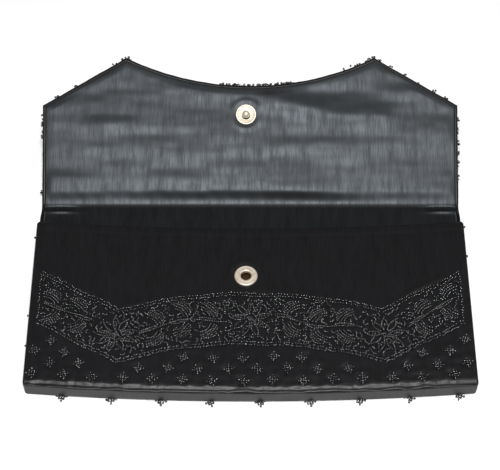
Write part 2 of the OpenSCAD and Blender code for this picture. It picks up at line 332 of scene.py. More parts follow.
def back_place(x, run, depth):
    """A point of the back, spine and flap. Run is 0 where the fold starts, along the outer face,
    and depth goes from the outer face to the lining."""
    a = sizes().flap_angle
    arc = arc_length()
    turn = np.clip(run / arc, 0, 1) * a
    r = OUTER_R - depth
    past = np.maximum(run - arc, 0)
    before = np.minimum(run, 0)
    y = FOLD_Y + before + r * np.sin(turn) + past * math.cos(a)
    z = AXIS_Z - r * np.cos(turn) + past * math.sin(a)
    return np.stack([x + 0 * y, y, z + 0 * x], -1)


def flap_place(x, run, depth):
    """A point of the flap. Run starts at the end of the fold's arc."""
    return back_place(x, run + arc_length(), depth)


# ---- beadwork lines: x from the middle, heights from the bottom edge ----

BORDER_X = 74  # the flowers' places, where a border's arc ends and its slope starts
BORDER_SLOPE = 0.54
BORDER_END = 119
UPPER_BORDER = (61.5, 51)  # heights in the middle and at BORDER_X
LOWER_BORDER = (30.2, 19)
FLOWERS = (-75, 0, 75)
LEAVES = (-112, -97, -53, -38, -23, 23, 38, 53, 97, 112)
STEMS = ((-116, -88), (-62, -14), (14, 62), (88, 116))
FRONT_PITCH = 16.5  # between the crosses on the front, sideways
FRONT_ROW = 7
BACK_PITCH = 27.5
BACK_ROW = 10
FLAP_BAND = 4  # from the lower border to the middle of the flap's free edge
BORDER_PITCH = 1.18
CLOSEST = 1.02  # between two beads, centre to centre
CELL = 2  # side of the squares in which near beads are looked for
BEAD_LENGTH = 0.80  # of a bead's width
FRONT_BEAD_RISE = 0.62  # a bead's centre above the cloth
BEAD_RISE = 0.66


def border_line(x, border):
    """Height of a border above the bottom edge: an arc between the flowers, a slope outside."""
    middle, dip = border
    s = middle - dip
    r = (BORDER_X**2 + s * s) / (2 * s)
    arc = middle - r + np.sqrt(np.maximum(r * r - np.minimum(np.abs(x), BORDER_X) ** 2, 0))
    return np.where(np.abs(x) < BORDER_X, arc, dip + BORDER_SLOPE * (np.abs(x) - BORDER_X))


def band_centre(x):
    """Height of the middle of the band."""
    return (border_line(x, UPPER_BORDER) + border_line(x, LOWER_BORDER)) / 2


def stem_line(x):
    """Height of the winding stem."""
    return band_centre(x) + 2 * np.sin(np.radians(x * 7.2))


def front_crosses():
    """Centres of the crosses on the front, as x and height above the bottom edge."""
    places = []
    for row in range(6):
        for col in range(-8, 9):
            x = FRONT_PITCH * (col + (0.75 if row % 2 == 0 else 0.25))
            bow = sizes().bottom_bow / MM * (x / HALF_W) ** 2
            h = FRONT_ROW + row * FRONT_ROW + bow
            if abs(x) < HALF_W - 4 and h < border_line(x, LOWER_BORDER) - 5.8:
                places.append((x, h))
    return places


def plain_crosses(first, last):
    """Staggered crosses over a plain panel, as x and distance from its middle."""
    places = []
    for row in range(first, last + 1):
        odd = abs(row) % 2
        for col in range(-4, 5 - odd):
            places.append((BACK_PITCH * (col + odd / 2), row * BACK_ROW))
    return places


# ---- reliefs: how far the cloth stands out from its flat panel ----


def pucker(x, y, centres, depth):
    """Small dents with gathered folds round stitched-down beads."""
    out = np.zeros(np.shape(x))
    for k, (cx, cy) in enumerate(centres):
        near = (np.abs(x - cx) < 9) & (np.abs(y - cy) < 9)
        dx, dy = x[near] - cx, y[near] - cy
        r = np.hypot(dx, dy)
        turn = np.arctan2(dy, dx)
        folds = 1 + 0.9 * np.cos(4 * turn + k * 1.7) * np.exp(-((r / 5.5) ** 2))
        out[near] += depth * (0.75 * np.exp(-(((r - 4.4) / 2.0) ** 2)) * folds - np.exp(-((r / 2.4) ** 2)))
    return out


def off_corners(x):
    """1 along the bottom edge and 0 at its corners."""
    return ease((120 - np.abs(x)) / 7)


def roll_start(x):
    """How far above the bottom edge the front's satin starts to roll over."""
    return ROLL + 0.6 * off_corners(x)


def layer_under(x, y):
    """Lowest relief the front's satin can have: it rests on the fleece, and past that on the board."""
    inset = np.minimum(HALF_W - np.abs(x), np.minimum(y - bottom_edge(x), mouth_edge(x) - y))
    floor = np.where(inset > BOARD_EDGE - 0.9, BOARD_TOP + 0.06, -9.0)
    return np.where(inset > FLEECE_EDGE - 0.9, FLEECE_TOP + 0.06, floor)


def front_relief(x, y):
    """The front's cushioned surface, with puckers, pull lines, slack and the crease at the bottom."""
    h = y - BOTTOM_Y
    upper, lower = border_line(x, UPPER_BORDER), border_line(x, LOWER_BORDER)
    in_band = ease((upper - h + 1) / 3) * ease((h - lower + 1) / 3)
    quilt = 0.16 * ripple(x, y, 3.1, 2.6, 1) + 0.10 * ripple(x, y, 1.9, 1.7, 2)
    above = hump(h - upper, 2.6, 1.7) * (0.16 + 0.20 * ripple(x, y, 7, 30, 3))
    streak = hump(x, 96, 9) * hump(h - upper, 3.4, 1.3) * 0.45
    below = hump(lower - h, 2.6, 1.7) * (0.10 + 0.12 * ripple(x, y, 6, 30, 4))
    slack = 0.16 * ripple(x, y, 46, 24, 5) + 0.05 * ripple(x, y, 15, 9, 6)
    crown = 0.35 * (1 - (x / HALF_W) ** 4) * (1 - (np.clip((h - 54) / 54, -1, 1)) ** 4)
    gather = hump(h, 4.5, 3.6) * (0.20 * ripple(x, y, 5.2, 60, 7) + 0.10 * ripple(x, y, 2.3, 60, 8))
    seams = -0.32 * (hump(np.abs(x), HALF_W - 2.9, 0.55)) * ease((h - 14) / 10)
    hem = -0.10 * hump(y, mouth_edge(x) - 6.5, 0.7) + 0.12 * hump(y, mouth_edge(x) - 3.6, 1.8)
    from_snap = np.hypot(x - SNAP_X, y - SNAP_Y)
    dimples = -0.30 * hump(from_snap, 7.2, 1.4) + 0.16 * hump(from_snap, 9.6, 1.5)
    pulls = 0.20 * hump(x + y * 0.3, SNAP_X - 8.5 + (SNAP_Y + 6) * 0.3, 1.7) * hump(y, SNAP_Y + 5.5, 2.2)
    crosses = pucker(x, h, front_crosses(), 0.26)
    wander = 0.5 * ripple(x, 0 * x, 8, 9, 44) + 0.3 * ripple(x, 0 * x, 3, 9, 45)
    width = 1.9 + 0.8 * ease((x - 20) / 70) + wander
    past = roll_start(x) + np.clip(width, 0.9, 2.2) - (y - bottom_edge(x))
    slope = -0.25 * (past + np.sqrt(past * past + 0.12))
    cloth = in_band * quilt + above + streak + below + slack + crown + gather
    relief = cloth + seams + hem + dimples + pulls + crosses + slope
    return np.maximum(relief, layer_under(x, y))


def back_relief(x, run):
    """The back's and the flap's outer surface."""
    centres = [(cx, cy - FOLD_Y) for cx, cy in plain_crosses(-5, 5)]
    band = ease((run - arc_length() - 8) / 6)
    slack = 0.14 * ripple(x, run, 40, 22, 21) + 0.05 * ripple(x, run, 12, 9, 22)
    quilt = 0.14 * ripple(x, run, 3.0, 2.7, 23)
    still = ease(np.abs(run - arc_length() / 2) / 9)
    return still * (slack + pucker(x, run, centres, 0.24)) + band * quilt


def lining_relief(x, run):
    """The lining's waves: slack across the flap, fine tension lines and pleats at the fold's ends."""
    u = run - arc_length()
    on_flap = ease(u / 8)
    waves = 0.34 * ripple(x, u, 70, 13, 31) + 0.16 * ripple(x, u, 34, 6.5, 32)
    waves += 0.05 * ripple(x, u, 9, 4, 33)
    fibres = 0.014 * ripple(x, u, 1.3, 22, 34)
    crown = 0.75 * hump(u, 34, 26) * (1 - (x / HALF_W) ** 4)
    line = u - (66 - (x - 4) * 0.14) - 1.6 * np.sin(x * 0.09)
    dark_wave = 0.70 * hump(line, -4.5, 6.5) * ease(x / 12) * ease((92 - x) / 14)
    lift = 0.40 * hump(x, -88, 11) * hump(u, 47, 6)
    pull = 0.07 * np.sin(x * 0.62 + 1.2 * np.sin(u * 0.11)) * hump(u, 5, 6)
    snap = 0.22 * hump(np.hypot(x - SNAP_X, u - STUD_RUN), 8.4, 1.6)
    ends = 0.0
    for side, place in ((-1, 113), (1, 115)):
        ridge = hump(x, side * place, 9.5)
        ends = ends + ridge * (0.85 * hump(run, -2.6, 1.2) - 0.55 * hump(run, 0.8, 1.1))
    body = ease(-run / 10) * (0.10 * ripple(x, run, 30, 18, 35))
    shade = 0.95 * hump(u, 8, 11) * (1 - 0.75 * ease((x - 25) / 55))
    return on_flap * (waves + fibres + crown + dark_wave + lift + pull + snap + shade) + ends + body


# ---- meshes ----


def make_piece(name, points, quads, uv=None):
    """A mesh object in metres from millimetre points. The UV map, named Cloth, is in metres too."""
    mesh = bpy.data.meshes.new(name)
    mesh.from_pydata((np.asarray(points) * MM).tolist(), [], [list(q) for q in quads])
    if uv is not None:
        layer = mesh.uv_layers.new(name="Cloth")
        loops = np.zeros(len(mesh.loops), np.int32)
        mesh.loops.foreach_get("vertex_index", loops)
        layer.data.foreach_set("uv", (np.asarray(uv)[loops] * MM).astype(np.float32).ravel())
    mesh.validate()
    mesh.polygons.foreach_set("use_smooth", [True] * len(mesh.polygons))
    mesh.update()
    obj = bpy.data.objects.new(name, mesh)
    bpy.context.scene.collection.objects.link(obj)
    return obj


def finish_piece(obj, material, slot):
    """Gives a piece its finish. The slot argument is not used."""
    obj.data.materials.clear()
    obj.data.materials.append(material)
    return obj


def grid_quads(rows, cols):
    """Faces of a grid, as point numbers."""
    n = np.arange(rows * cols).reshape(rows, cols)
    return np.stack([n[:-1, :-1], n[:-1, 1:], n[1:, 1:], n[1:, :-1]], -1).reshape(-1, 4)


def border_loop(rows, cols):
    """Grid numbers round the edge, anticlockwise."""
    n = np.arange(rows * cols).reshape(rows, cols)
    return np.concatenate([n[0, :], n[1:, -1], n[-1, -2::-1], n[-2:0:-1, 0]])


def outward(loop):
    """Mitred outward directions of an anticlockwise loop in a panel's plane."""
    before, after = loop - np.roll(loop, 1, 0), np.roll(loop, -1, 0) - loop

    def normal(e):
        n = np.stack([e[:, 1], -e[:, 0]], 1)
        return n / np.maximum(np.linalg.norm(n, axis=1, keepdims=True), 1e-9)

    a, b = normal(before), normal(after)
    both = a + b
    return both / np.maximum(1 + np.sum(a * b, 1, keepdims=True), 0.35)


def wrapped_panel(flat, place, relief, rings):
    """Points, quads and UVs of a panel whose edge is wrapped over.

    flat is the grid in the panel's plane. Each ring is (outward, depth, share of relief) along the edge,
    as numbers or arrays with one value for each edge point.
    """
    rows, cols = flat.shape[:2]
    plane = flat.reshape(-1, 2)
    loop = border_loop(rows, cols)
    edge = plane[loop]
    normal = outward(edge)
    rise = relief(plane[:, 0], plane[:, 1])
    points = [place(plane[:, 0], plane[:, 1], -rise)]
    uvs = [plane]
    quads = [grid_quads(rows, cols)]
    inner = loop
    start = rows * cols
    reach = np.zeros(len(loop))
    last_out, last_depth = np.zeros(len(loop)), np.zeros(len(loop))
    for out, depth, share in rings:
        out, depth = out + np.zeros(len(loop)), depth + np.zeros(len(loop))
        at = edge + normal * out[:, None]
        points.append(place(at[:, 0], at[:, 1], depth - share * rise[loop]))
        reach = reach + np.hypot(out - last_out, depth - last_depth)
        last_out, last_depth = out, depth
        uvs.append(edge + normal * reach[:, None])
        ring = start + np.arange(len(loop))
        quads.append(np.stack([ring, np.roll(ring, -1), np.roll(inner, -1), inner], 1))
        inner = ring
        start += len(loop)
    return np.concatenate(points), np.concatenate(quads), np.concatenate(uvs)


TURN_STEPS = 6


def roll_rings(radius, straight, turn_in, tuck, walls):
    """Rings of an edge that rolls over, runs straight down, turns in and is tucked under."""
    rings = []
    for k in range(1, TURN_STEPS + 1):
        a = math.pi / 2 * k / TURN_STEPS
        rings.append((radius * math.sin(a), radius * (1 - math.cos(a)), math.cos(a)))
    for k in range(1, walls + 1):
        rings.append((radius, radius + straight * k / walls, 0.0))
    for k in range(1, TURN_STEPS + 1):
        a = math.pi / 2 * k / TURN_STEPS
        out = radius - turn_in * (1 - math.cos(a))
        rings.append((out, radius + straight + turn_in * math.sin(a), 0.0))
    for k in (1, 2, 3):
        rings.append((radius - turn_in - tuck * k / 3, radius + straight + turn_in, 0.0))
    return rings


def without_disc(points, quads, x, y, radius):
    """The quads whose middle is outside a round hole."""
    middle = points[quads].mean(1)
    return quads[np.hypot(middle[:, 0] - x, middle[:, 1] - y) > radius]


def drop_loose(points, quads, uv):
    """Leaves out the points that no quad uses."""
    used = np.unique(quads)
    number = np.zeros(len(points), int)
    number[used] = np.arange(len(used))
    return points[used], number[quads], uv[used]


def lathe(name, profile, place, segments=96):
    """A turned piece from (radius, height) pairs that start and end on the axis or in one point.

    place maps millimetre points from the piece's own axis.
    """
    points, quads = [], []
    for r, h in profile:
        for k in range(segments):
            a = 2 * math.pi * k / segments
            points.append((r * math.cos(a), r * math.sin(a), h))
    for i in range(len(profile) - 1):
        for k in range(segments):
            m = (k + 1) % segments
            low, high = i * segments, (i + 1) * segments
            quads.append((low + k, low + m, high + m, high + k))
    obj = make_piece(name, place(np.array(points)), quads)
    mend(obj)
    return obj


def mend(obj):
    """Merges doubles and turns every face outwards."""
    bm = bmesh.new()
    bm.from_mesh(obj.data)
    bmesh.ops.remove_doubles(bm, verts=bm.verts, dist=1e-7)
    bmesh.ops.recalc_face_normals(bm, faces=bm.faces)
    bm.to_mesh(obj.data)
    bm.free()
    obj.data.update()


# ---- finishes ----


def link_all(tree, *steps):
    """Links each pair of sockets."""
    for a, b in steps:
        tree.links.new(a, b)


def math_node(tree, operation, a, b, clamp=False):
    """Arithmetic on two values, each a link or a number."""
    node = tree.nodes.new("ShaderNodeMath")
    node.operation = operation
    node.use_clamp = clamp
    for k, value in enumerate((a, b)):
        if isinstance(value, (int, float)):
            node.inputs[k].default_value = value
        else:
            tree.links.new(value, node.inputs[k])
    return node.outputs[0]


def noise_node(tree, vector, scale, detail=2.0, roughness=0.5):
    """Soft noise from 0 to 1."""
    node = tree.nodes.new("ShaderNodeTexNoise")
    node.inputs["Scale"].default_value = scale
    node.inputs["Detail"].default_value = detail
    node.inputs["Roughness"].default_value = roughness
    tree.links.new(vector, node.inputs["Vector"])
    return node.outputs["Fac"]


def stretched(tree, vector, scale):
    """Coordinates scaled along each axis."""
    node = tree.nodes.new("ShaderNodeMapping")
    node.inputs["Scale"].default_value = scale
    tree.links.new(vector, node.inputs["Vector"])
    return node.outputs["Vector"]


def remap(tree, value, low, high, to_low, to_high):
    """A value moved from one range to another, and kept inside it."""
    node = tree.nodes.new("ShaderNodeMapRange")
    node.inputs["From Min"].default_value = low
    node.inputs["From Max"].default_value = high
    node.inputs["To Min"].default_value = to_low
    node.inputs["To Max"].default_value = to_high
    tree.links.new(value, node.inputs["Value"])
    return node.outputs["Result"]


def satin_weave_group():
    """Masks of a satin weave: long floats along the cloth, fine ribs across and uneven slubs."""
    name = "Satin weave"
    if name in bpy.data.node_groups:
        return bpy.data.node_groups[name]
    tree = bpy.data.node_groups.new(name, "ShaderNodeTree")
    face = tree.interface
    face.new_socket(name="Cloth", in_out="INPUT", socket_type="NodeSocketVector")
    for label, value in (("Thread", 0.00032), ("Float length", 0.0042)):
        socket = face.new_socket(name=label, in_out="INPUT", socket_type="NodeSocketFloat")
        socket.default_value = value
    for label in ("Height", "Streaks", "Slubs"):
        face.new_socket(name=label, in_out="OUTPUT", socket_type="NodeSocketFloat")
    enter = tree.nodes.new("NodeGroupInput")
    leave = tree.nodes.new("NodeGroupOutput")
    apart = tree.nodes.new("ShaderNodeSeparateXYZ")
    tree.links.new(enter.outputs["Cloth"], apart.inputs[0])
    across = math_node(tree, "DIVIDE", apart.outputs[0], enter.outputs["Thread"])
    along = math_node(tree, "DIVIDE", apart.outputs[1], enter.outputs["Float length"])
    joined = tree.nodes.new("ShaderNodeCombineXYZ")
    tree.links.new(across, joined.inputs[0])
    tree.links.new(along, joined.inputs[1])
    threads = noise_node(tree, joined.outputs[0], 0.55, 1.0)
    streaks = noise_node(tree, stretched(tree, joined.outputs[0], (0.34, 0.42, 1)), 1.0, 3.0, 0.62)
    slubs = noise_node(tree, stretched(tree, joined.outputs[0], (0.07, 0.20, 1)), 1.0, 2.0, 0.5)
    ribs = tree.nodes.new("ShaderNodeTexWave")
    ribs.bands_direction = "Y"
    ribs.inputs["Scale"].default_value = 900
    ribs.inputs["Distortion"].default_value = 1.5
    ribs.inputs["Detail"].default_value = 1.0
    tree.links.new(enter.outputs["Cloth"], ribs.inputs["Vector"])
    height = math_node(tree, "ADD", threads, math_node(tree, "MULTIPLY", ribs.outputs["Fac"], 0.08))
    link_all(
        tree,
        (height, leave.inputs["Height"]),
        (streaks, leave.inputs["Streaks"]),
        (slubs, leave.inputs["Slubs"]),
    )
    return tree


def shader(name):
    """A new material with its tree and its Principled shader."""
    material = bpy.data.materials.new(name)
    material.use_nodes = True
    tree = material.node_tree
    return material, tree, tree.nodes["Principled BSDF"]


def mixed(tree, factor, low, high):
    """A colour between low and high, each a link or a plain colour."""
    node = tree.nodes.new("ShaderNodeMix")
    node.data_type = "RGBA"
    for name, colour in (("A", low), ("B", high)):
        if isinstance(colour, tuple):
            node.inputs[name].default_value = (*colour, 1)
        else:
            tree.links.new(colour, node.inputs[name])
    tree.links.new(factor, node.inputs["Factor"])
    return node.outputs["Result"]


def shade_of(colour, gain):
    """A colour made lighter or darker."""
    return tuple(v * gain for v in colour)


def bumped(tree, height, bsdf, strength, distance):
    """Roughens a surface by a height."""
    node = tree.nodes.new("ShaderNodeBump")
    node.inputs["Strength"].default_value = strength
    node.inputs["Distance"].default_value = distance
    tree.links.new(height, node.inputs["Height"])
    tree.links.new(node.outputs["Normal"], bsdf.inputs["Normal"])


def satin_finish(name, colour, bright, rough, specular, tint, streak_gain, slub_gain):
    """A satin whose floats catch the light across the cloth. bright is the lightest float's gain."""
    if name in bpy.data.materials:
        return bpy.data.materials[name]
    material, tree, bsdf = shader(name)
    cloth = tree.nodes.new("ShaderNodeUVMap")
    cloth.uv_map = "Cloth"
    weave = tree.nodes.new("ShaderNodeGroup")
    weave.node_tree = satin_weave_group()
    tree.links.new(cloth.outputs["UV"], weave.inputs["Cloth"])
    streaks = remap(tree, weave.outputs["Streaks"], 0.30, 0.72, 0.0, 1.0)
    slubs = remap(tree, weave.outputs["Slubs"], 0.30, 0.70, 0.0, 1.0)
    patches = math_node(tree, "MULTIPLY", slubs, slub_gain)
    tone = math_node(tree, "ADD", math_node(tree, "MULTIPLY", streaks, streak_gain), patches, True)
    tree.links.new(mixed(tree, tone, tuple(colour), shade_of(colour, bright)), bsdf.inputs["Base Color"])
    gloss = remap(tree, tone, 0.0, 1.0, rough + 0.07, rough - 0.07)
    tree.links.new(gloss, bsdf.inputs["Roughness"])
    bsdf.inputs["Specular IOR Level"].default_value = specular
    bsdf.inputs["Specular Tint"].default_value = (*tint, 1)
    bsdf.inputs["Anisotropic"].default_value = 0.6
    bsdf.inputs["Sheen Weight"].default_value = 0.004
    bsdf.inputs["Sheen Roughness"].default_value = 0.4
    tangent = tree.nodes.new("ShaderNodeTangent")
    tangent.direction_type = "UV_MAP"
    tangent.uv_map = "Cloth"
    tree.links.new(tangent.outputs["Tangent"], bsdf.inputs["Tangent"])
    height = math_node(tree, "ADD", weave.outputs["Height"], weave.outputs["Streaks"])
    bumped(tree, height, bsdf, 0.5, 0.00008)
    return material


def outer_satin():
    """Black satin with a close, even sheen."""
    look = {"bright": 2.2, "rough": 0.36, "specular": 0.19, "tint": (1, 1, 1)}
    return satin_finish("Black satin", colours().satin, **look, streak_gain=0.5, slub_gain=0.3)


def lining_satin():
    """Thinner lining satin that looks grey where the light falls on it, with uneven threads."""
    look = {"bright": 2.6, "rough": 0.47, "specular": 0.33, "tint": (0.84, 0.92, 1.0)}
    return satin_finish("Grey lining satin", colours().lining, **look, streak_gain=0.8, slub_gain=0.7)


def bead_glass():
    """Polished black glass, a little different from bead to bead."""
    name = "Black glass beads"
    if name in bpy.data.materials:
        return bpy.data.materials[name]
    material, tree, bsdf = shader(name)
    own = tree.nodes.new("ShaderNodeAttribute")
    own.attribute_name = "bead_tone"
    c = colours().beads
    glass = mixed(tree, own.outputs["Fac"], shade_of(c, 0.6), shade_of(c, 1.8))
    tree.links.new(glass, bsdf.inputs["Base Color"])
    tree.links.new(remap(tree, own.outputs["Fac"], 0.0, 1.0, 0.17, 0.27), bsdf.inputs["Roughness"])
    place = tree.nodes.new("ShaderNodeTexCoord")
    bumped(tree, noise_node(tree, place.outputs["Object"], 1500.0, 1.0), bsdf, 0.05, 0.00003)
    bsdf.inputs["IOR"].default_value = 1.75
    bsdf.inputs["Coat Weight"].default_value = 0.8
    bsdf.inputs["Coat Roughness"].default_value = 0.14
    return material


def wear_group():
    """Masks for worn metal: fine scratches and soft stains."""
    name = "Metal wear"
    if name in bpy.data.node_groups:
        return bpy.data.node_groups[name]
    tree = bpy.data.node_groups.new(name, "ShaderNodeTree")
    face = tree.interface
    face.new_socket(name="Place", in_out="INPUT", socket_type="NodeSocketVector")
    for label in ("Scratches", "Stains"):
        face.new_socket(name=label, in_out="OUTPUT", socket_type="NodeSocketFloat")
    enter = tree.nodes.new("NodeGroupInput")
    leave = tree.nodes.new("NodeGroupOutput")
    fine = noise_node(tree, stretched(tree, enter.outputs["Place"], (9000, 900, 3000)), 1.0, 2.0)
    broad = noise_node(tree, enter.outputs["Place"], 700.0, 4.0, 0.6)
    link_all(tree, (fine, leave.inputs["Scratches"]), (broad, leave.inputs["Stains"]))
    return tree


# painted shade: the dark brown colour given to metal deep in the snap's bore
BORE_PAINTED_SHADE = (0.05, 0.025, 0.012)


def metal_finish(name, colour, stain, rough, metallic):
    """Worn metal with stains and fine scratches, with painted shade deep in the snap's bore."""
    if name in bpy.data.materials:
        return bpy.data.materials[name]
    material, tree, bsdf = shader(name)
    place = tree.nodes.new("ShaderNodeTexCoord")
    wear = tree.nodes.new("ShaderNodeGroup")
    wear.node_tree = wear_group()
    tree.links.new(place.outputs["Object"], wear.inputs["Place"])
    stains = remap(tree, wear.outputs["Stains"], 0.46, 0.72, 0.0, 1.0)
    worn = mixed(tree, stains, colour, stain)
    apart = tree.nodes.new("ShaderNodeSeparateXYZ")
    tree.links.new(place.outputs["Object"], apart.inputs[0])
    # painted shade: below the front's face, down the snap's bore, the base colour turns dark brown
    deep = remap(tree, apart.outputs[2], (FRONT_Z - 0.6) * MM, (FRONT_Z + 0.7) * MM, 1.0, 0.0)
    tree.links.new(mixed(tree, deep, worn, BORE_PAINTED_SHADE), bsdf.inputs["Base Color"])
    scratched = remap(tree, wear.outputs["Scratches"], 0.3, 0.7, rough, rough + 0.14)
    tree.links.new(scratched, bsdf.inputs["Roughness"])
    bsdf.inputs["Metallic"].default_value = metallic
    bumped(tree, wear.outputs["Scratches"], bsdf, 0.15, 0.00003)
    return material


def snap_metal():
    """Warm plating, browner where it's stained."""
    c = tuple(colours().metal)
    return metal_finish("Plated snap metal", c, (c[0] * 0.72, c[1] * 0.66, c[2] * 0.55), 0.40, 0.6)


def spring_brass():
    """Dark brass wire."""
    c = tuple(colours().spring)
    return metal_finish("Brass spring wire", c, shade_of(c, 0.5), 0.34, 1.0)


def board_finish():
    """Grey board with fibres and flecks."""
    name = "Stiffening board"
    if name in bpy.data.materials:
        return bpy.data.materials[name]
    material, tree, bsdf = shader(name)
    place = tree.nodes.new("ShaderNodeTexCoord")
    fibres = noise_node(tree, stretched(tree, place.outputs["Object"], (900, 160, 900)), 1.0, 3.0)
    tree.links.new(mixed(tree, fibres, (0.40, 0.35, 0.27), (0.58, 0.52, 0.42)), bsdf.inputs["Base Color"])
    bsdf.inputs["Roughness"].default_value = 0.9
    bumped(tree, fibres, bsdf, 0.4, 0.0001)
    return material


def fleece_finish():
    """White felted fleece."""
    name = "Fleece"
    if name in bpy.data.materials:
        return bpy.data.materials[name]
    material, tree, bsdf = shader(name)
    place = tree.nodes.new("ShaderNodeTexCoord")
    felt = noise_node(tree, place.outputs["Object"], 1400.0, 5.0, 0.7)
    tree.links.new(mixed(tree, felt, (0.70, 0.70, 0.67), (0.88, 0.88, 0.86)), bsdf.inputs["Base Color"])
    bsdf.inputs["Roughness"].default_value = 1.0
    bsdf.inputs["Sheen Weight"].default_value = 0.4
    bumped(tree, felt, bsdf, 0.6, 0.0003)
    return material


# ---- covers ----


class CLUTCH_OT_front_cover(bpy.types.Operator):
    """Satin over the front panel, turned in at the mouth and carried down over the bottom"""

    bl_idname = "clutch.front_cover"
    bl_label = "Front cover"

    def execute(self, context):
        columns = round_columns(ROLL, 1.0, (SNAP_X,))
        level = 0 * columns
        waves = 0.45 * ripple(columns, level, 9, 9, 41) + 0.30 * ripple(columns, level, 3.6, 9, 43)
        crease = roll_start(columns) + off_corners(columns) * waves
        low = panel_end(columns, ROLL, bottom_edge, -1)
        inside = np.abs(columns) <= HALF_W - sizes().corner / MM
        low = np.where(inside, low + crease - ROLL, low)
        high = panel_end(columns, ROLL, mouth_edge, 1)
        share = np.linspace(0, 1, 104)
        share = share * 0.72 + 0.28 * ease(share)
        run = low[None, :] + (high - low)[None, :] * share[:, None]
        flat = np.stack([columns[None, :] + 0 * run, run], -1)
        rows, cols = run.shape
        edge = flat.reshape(-1, 2)[border_loop(rows, cols)]
        ex, ey = edge[:, 0], edge[:, 1]
        at_top = ease((ey - (mouth_edge(ex) - 3.2)) / 1.5)
        at_bottom = ease((FOLDS_START - ey) / 2.0)
        at_crease = (ey < BOTTOM_Y + 9) & (np.abs(ex) < HALF_W - 3.9)
        radius = np.where(at_crease, np.interp(ex, columns, np.where(inside, crease, ROLL)), ROLL)
        seam = 0.5
        wall = FRONT_Z - BACK_Z - 0.8 - radius - seam
        straight = at_bottom * wall + (1 - at_bottom) * (1 - at_top) * 0.75
        turn_in = seam + at_top * (ROLL - seam)
        hem = 0.7 + 7.0 * at_top * ease((112 - np.abs(ex)) / 8)
        dents = 0.14 * ripple(ex, ey, 13, 13, 42) * at_bottom
        walls = 8
        swelling = TURN_STEPS + walls
        rings = []
        for k, (out, depth, shared) in enumerate(roll_rings(radius, straight, turn_in, hem, walls)):
            bulge = dents * math.sin(math.pi * min(k, swelling) / swelling)
            rings.append((out + bulge, depth, shared))

        def place(x, y, depth):
            return np.stack([x, y, FRONT_Z - depth], -1)

        points, quads, uv = wrapped_panel(flat, place, front_relief, rings)
        quads = without_disc(points, quads, SNAP_X, SNAP_Y, 3.9)
        points, quads, uv = drop_loose(points, quads, uv)
        obj = finish_piece(make_piece("front_cover", points, quads, uv), outer_satin(), "black_satin")
        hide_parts("front_satin", "bottom_satin", "mouth_hem")
        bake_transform(obj)
        return {"FINISHED"}


class CLUTCH_OT_back_cover(bpy.types.Operator):
    """Satin over the back, round the fold and over the flap, with the flap's rolled rim"""

    bl_idname = "clutch.back_cover"
    bl_label = "Back cover"

    def execute(self, context):
        point = sizes().point_x / MM
        columns = round_columns(ROLL, 1.3, (point, -point, SNAP_X))
        low = panel_end(columns, ROLL, bottom_edge, -1) - FOLD_Y
        spread = flap_columns(columns, FLAP_HALF_W - ROLL, HALF_W - ROLL)
        top = arc_length() + flap_edge(spread) - ROLL * np.where(np.abs(spread) > point, 1.16, 1.06)
        run = rows_round_fold(low, top, 4, 80, 0.42, 60)
        flat = np.stack([over_fold(columns, spread, run), run], -1)
        edge = flat.reshape(-1, 2)[border_loop(*run.shape)]
        ex, er = edge[:, 0], edge[:, 1]
        on_flap = ease((er + 4) / 3)
        at_bottom = ease((BOTTOM_Y - FOLD_Y + 8.5 - er) / 2)
        rim = sizes().rim / MM
        turn_in = ROLL * (1 - 0.35 * (1 - on_flap)) + 0.08 * on_flap
        straight = 0.22 * on_flap + 0.12 * (1 - on_flap) * (1 - at_bottom)
        tuck = (rim - ROLL) * on_flap + 0.25
        swell = 0.10 * ripple(ex, er, 5, 5, 51) + 0.07 * ripple(ex, er, 1.9, 1.9, 52)
        rings = []
        made = roll_rings(ROLL + 0 * tuck, straight, turn_in, tuck, 2)
        for k, (out, depth, shared) in enumerate(made):
            rings.append((out + swell * on_flap * math.sin(math.pi * k / len(made)), depth, shared))
        out, depth, _ = rings[-1]
        rings.append((out - 0.25, depth - 0.35, 0.0))
        points, quads, uv = wrapped_panel(flat, back_place, back_relief, rings)
        quads = quads[:, ::-1]
        obj = finish_piece(make_piece("back_cover", points, quads, uv), outer_satin(), "black_satin")
        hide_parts("back_satin", "spine_satin", "flap_satin", "flap_edge_roll")
        after = flap_place(0.0, 3.0, 0.0) * MM
        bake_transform(obj)
        return {"FINISHED"}


class CLUTCH_OT_lining(bpy.types.Operator):
    """Lining from the bottom wall over the back and round the fold to the flap's free edge"""

    bl_idname = "clutch.lining"
    bl_label = "Lining"

    def execute(self, context):
        arc = arc_length()
        point = sizes().point_x / MM
        inset = 1.85
        columns = round_columns(inset, 1.3, (point, -point, SNAP_X))
        low = panel_end(columns, inset, bottom_edge, -1) - FOLD_Y
        side = FLAP_HALF_W - 1.25
        spread = flap_columns(columns, side, HALF_W - inset)
        top = arc + flap_edge(spread) - np.where(np.abs(spread) > point, 1.5, 1.35)
        up_wall = np.linspace(1, 0, 7)[:, None]
        wall = low - 0.12 * up_wall
        run = np.concatenate([wall, rows_round_fold(low + 0.5, top, 5, 60, 0.36, 90)])
        lift = np.zeros(run.shape)
        lift[: len(wall)] = 6.3 * up_wall
        across = over_fold(columns, spread, run)
        rise = lining_relief(across, run)
        to_edge = np.minimum(np.abs(side - np.abs(across)), np.abs(top[None, :] - run))
        on_flap = ease(run / arc)
        rise = rise * (1 - on_flap * (1 - ease(to_edge / 5))) - 0.30 * on_flap * hump(to_edge, 0, 0.7)
        settled = np.maximum(np.where(lift > 0, 0.0, rise), -0.22)
        points = back_place(across, run, PANEL_T + settled + lift).reshape(-1, 3)
        uv = np.stack([across, run - lift], -1).reshape(-1, 2)
        quads = grid_quads(*run.shape)
        obj = finish_piece(make_piece("lining", points, quads, uv), lining_satin(), "lining_satin")
        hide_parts("back_lining", "bottom_lining", "spine_lining", "flap_lining")
        after = flap_place(0.0, 2.0, PANEL_T) * MM
        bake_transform(obj)
        return {"FINISHED"}


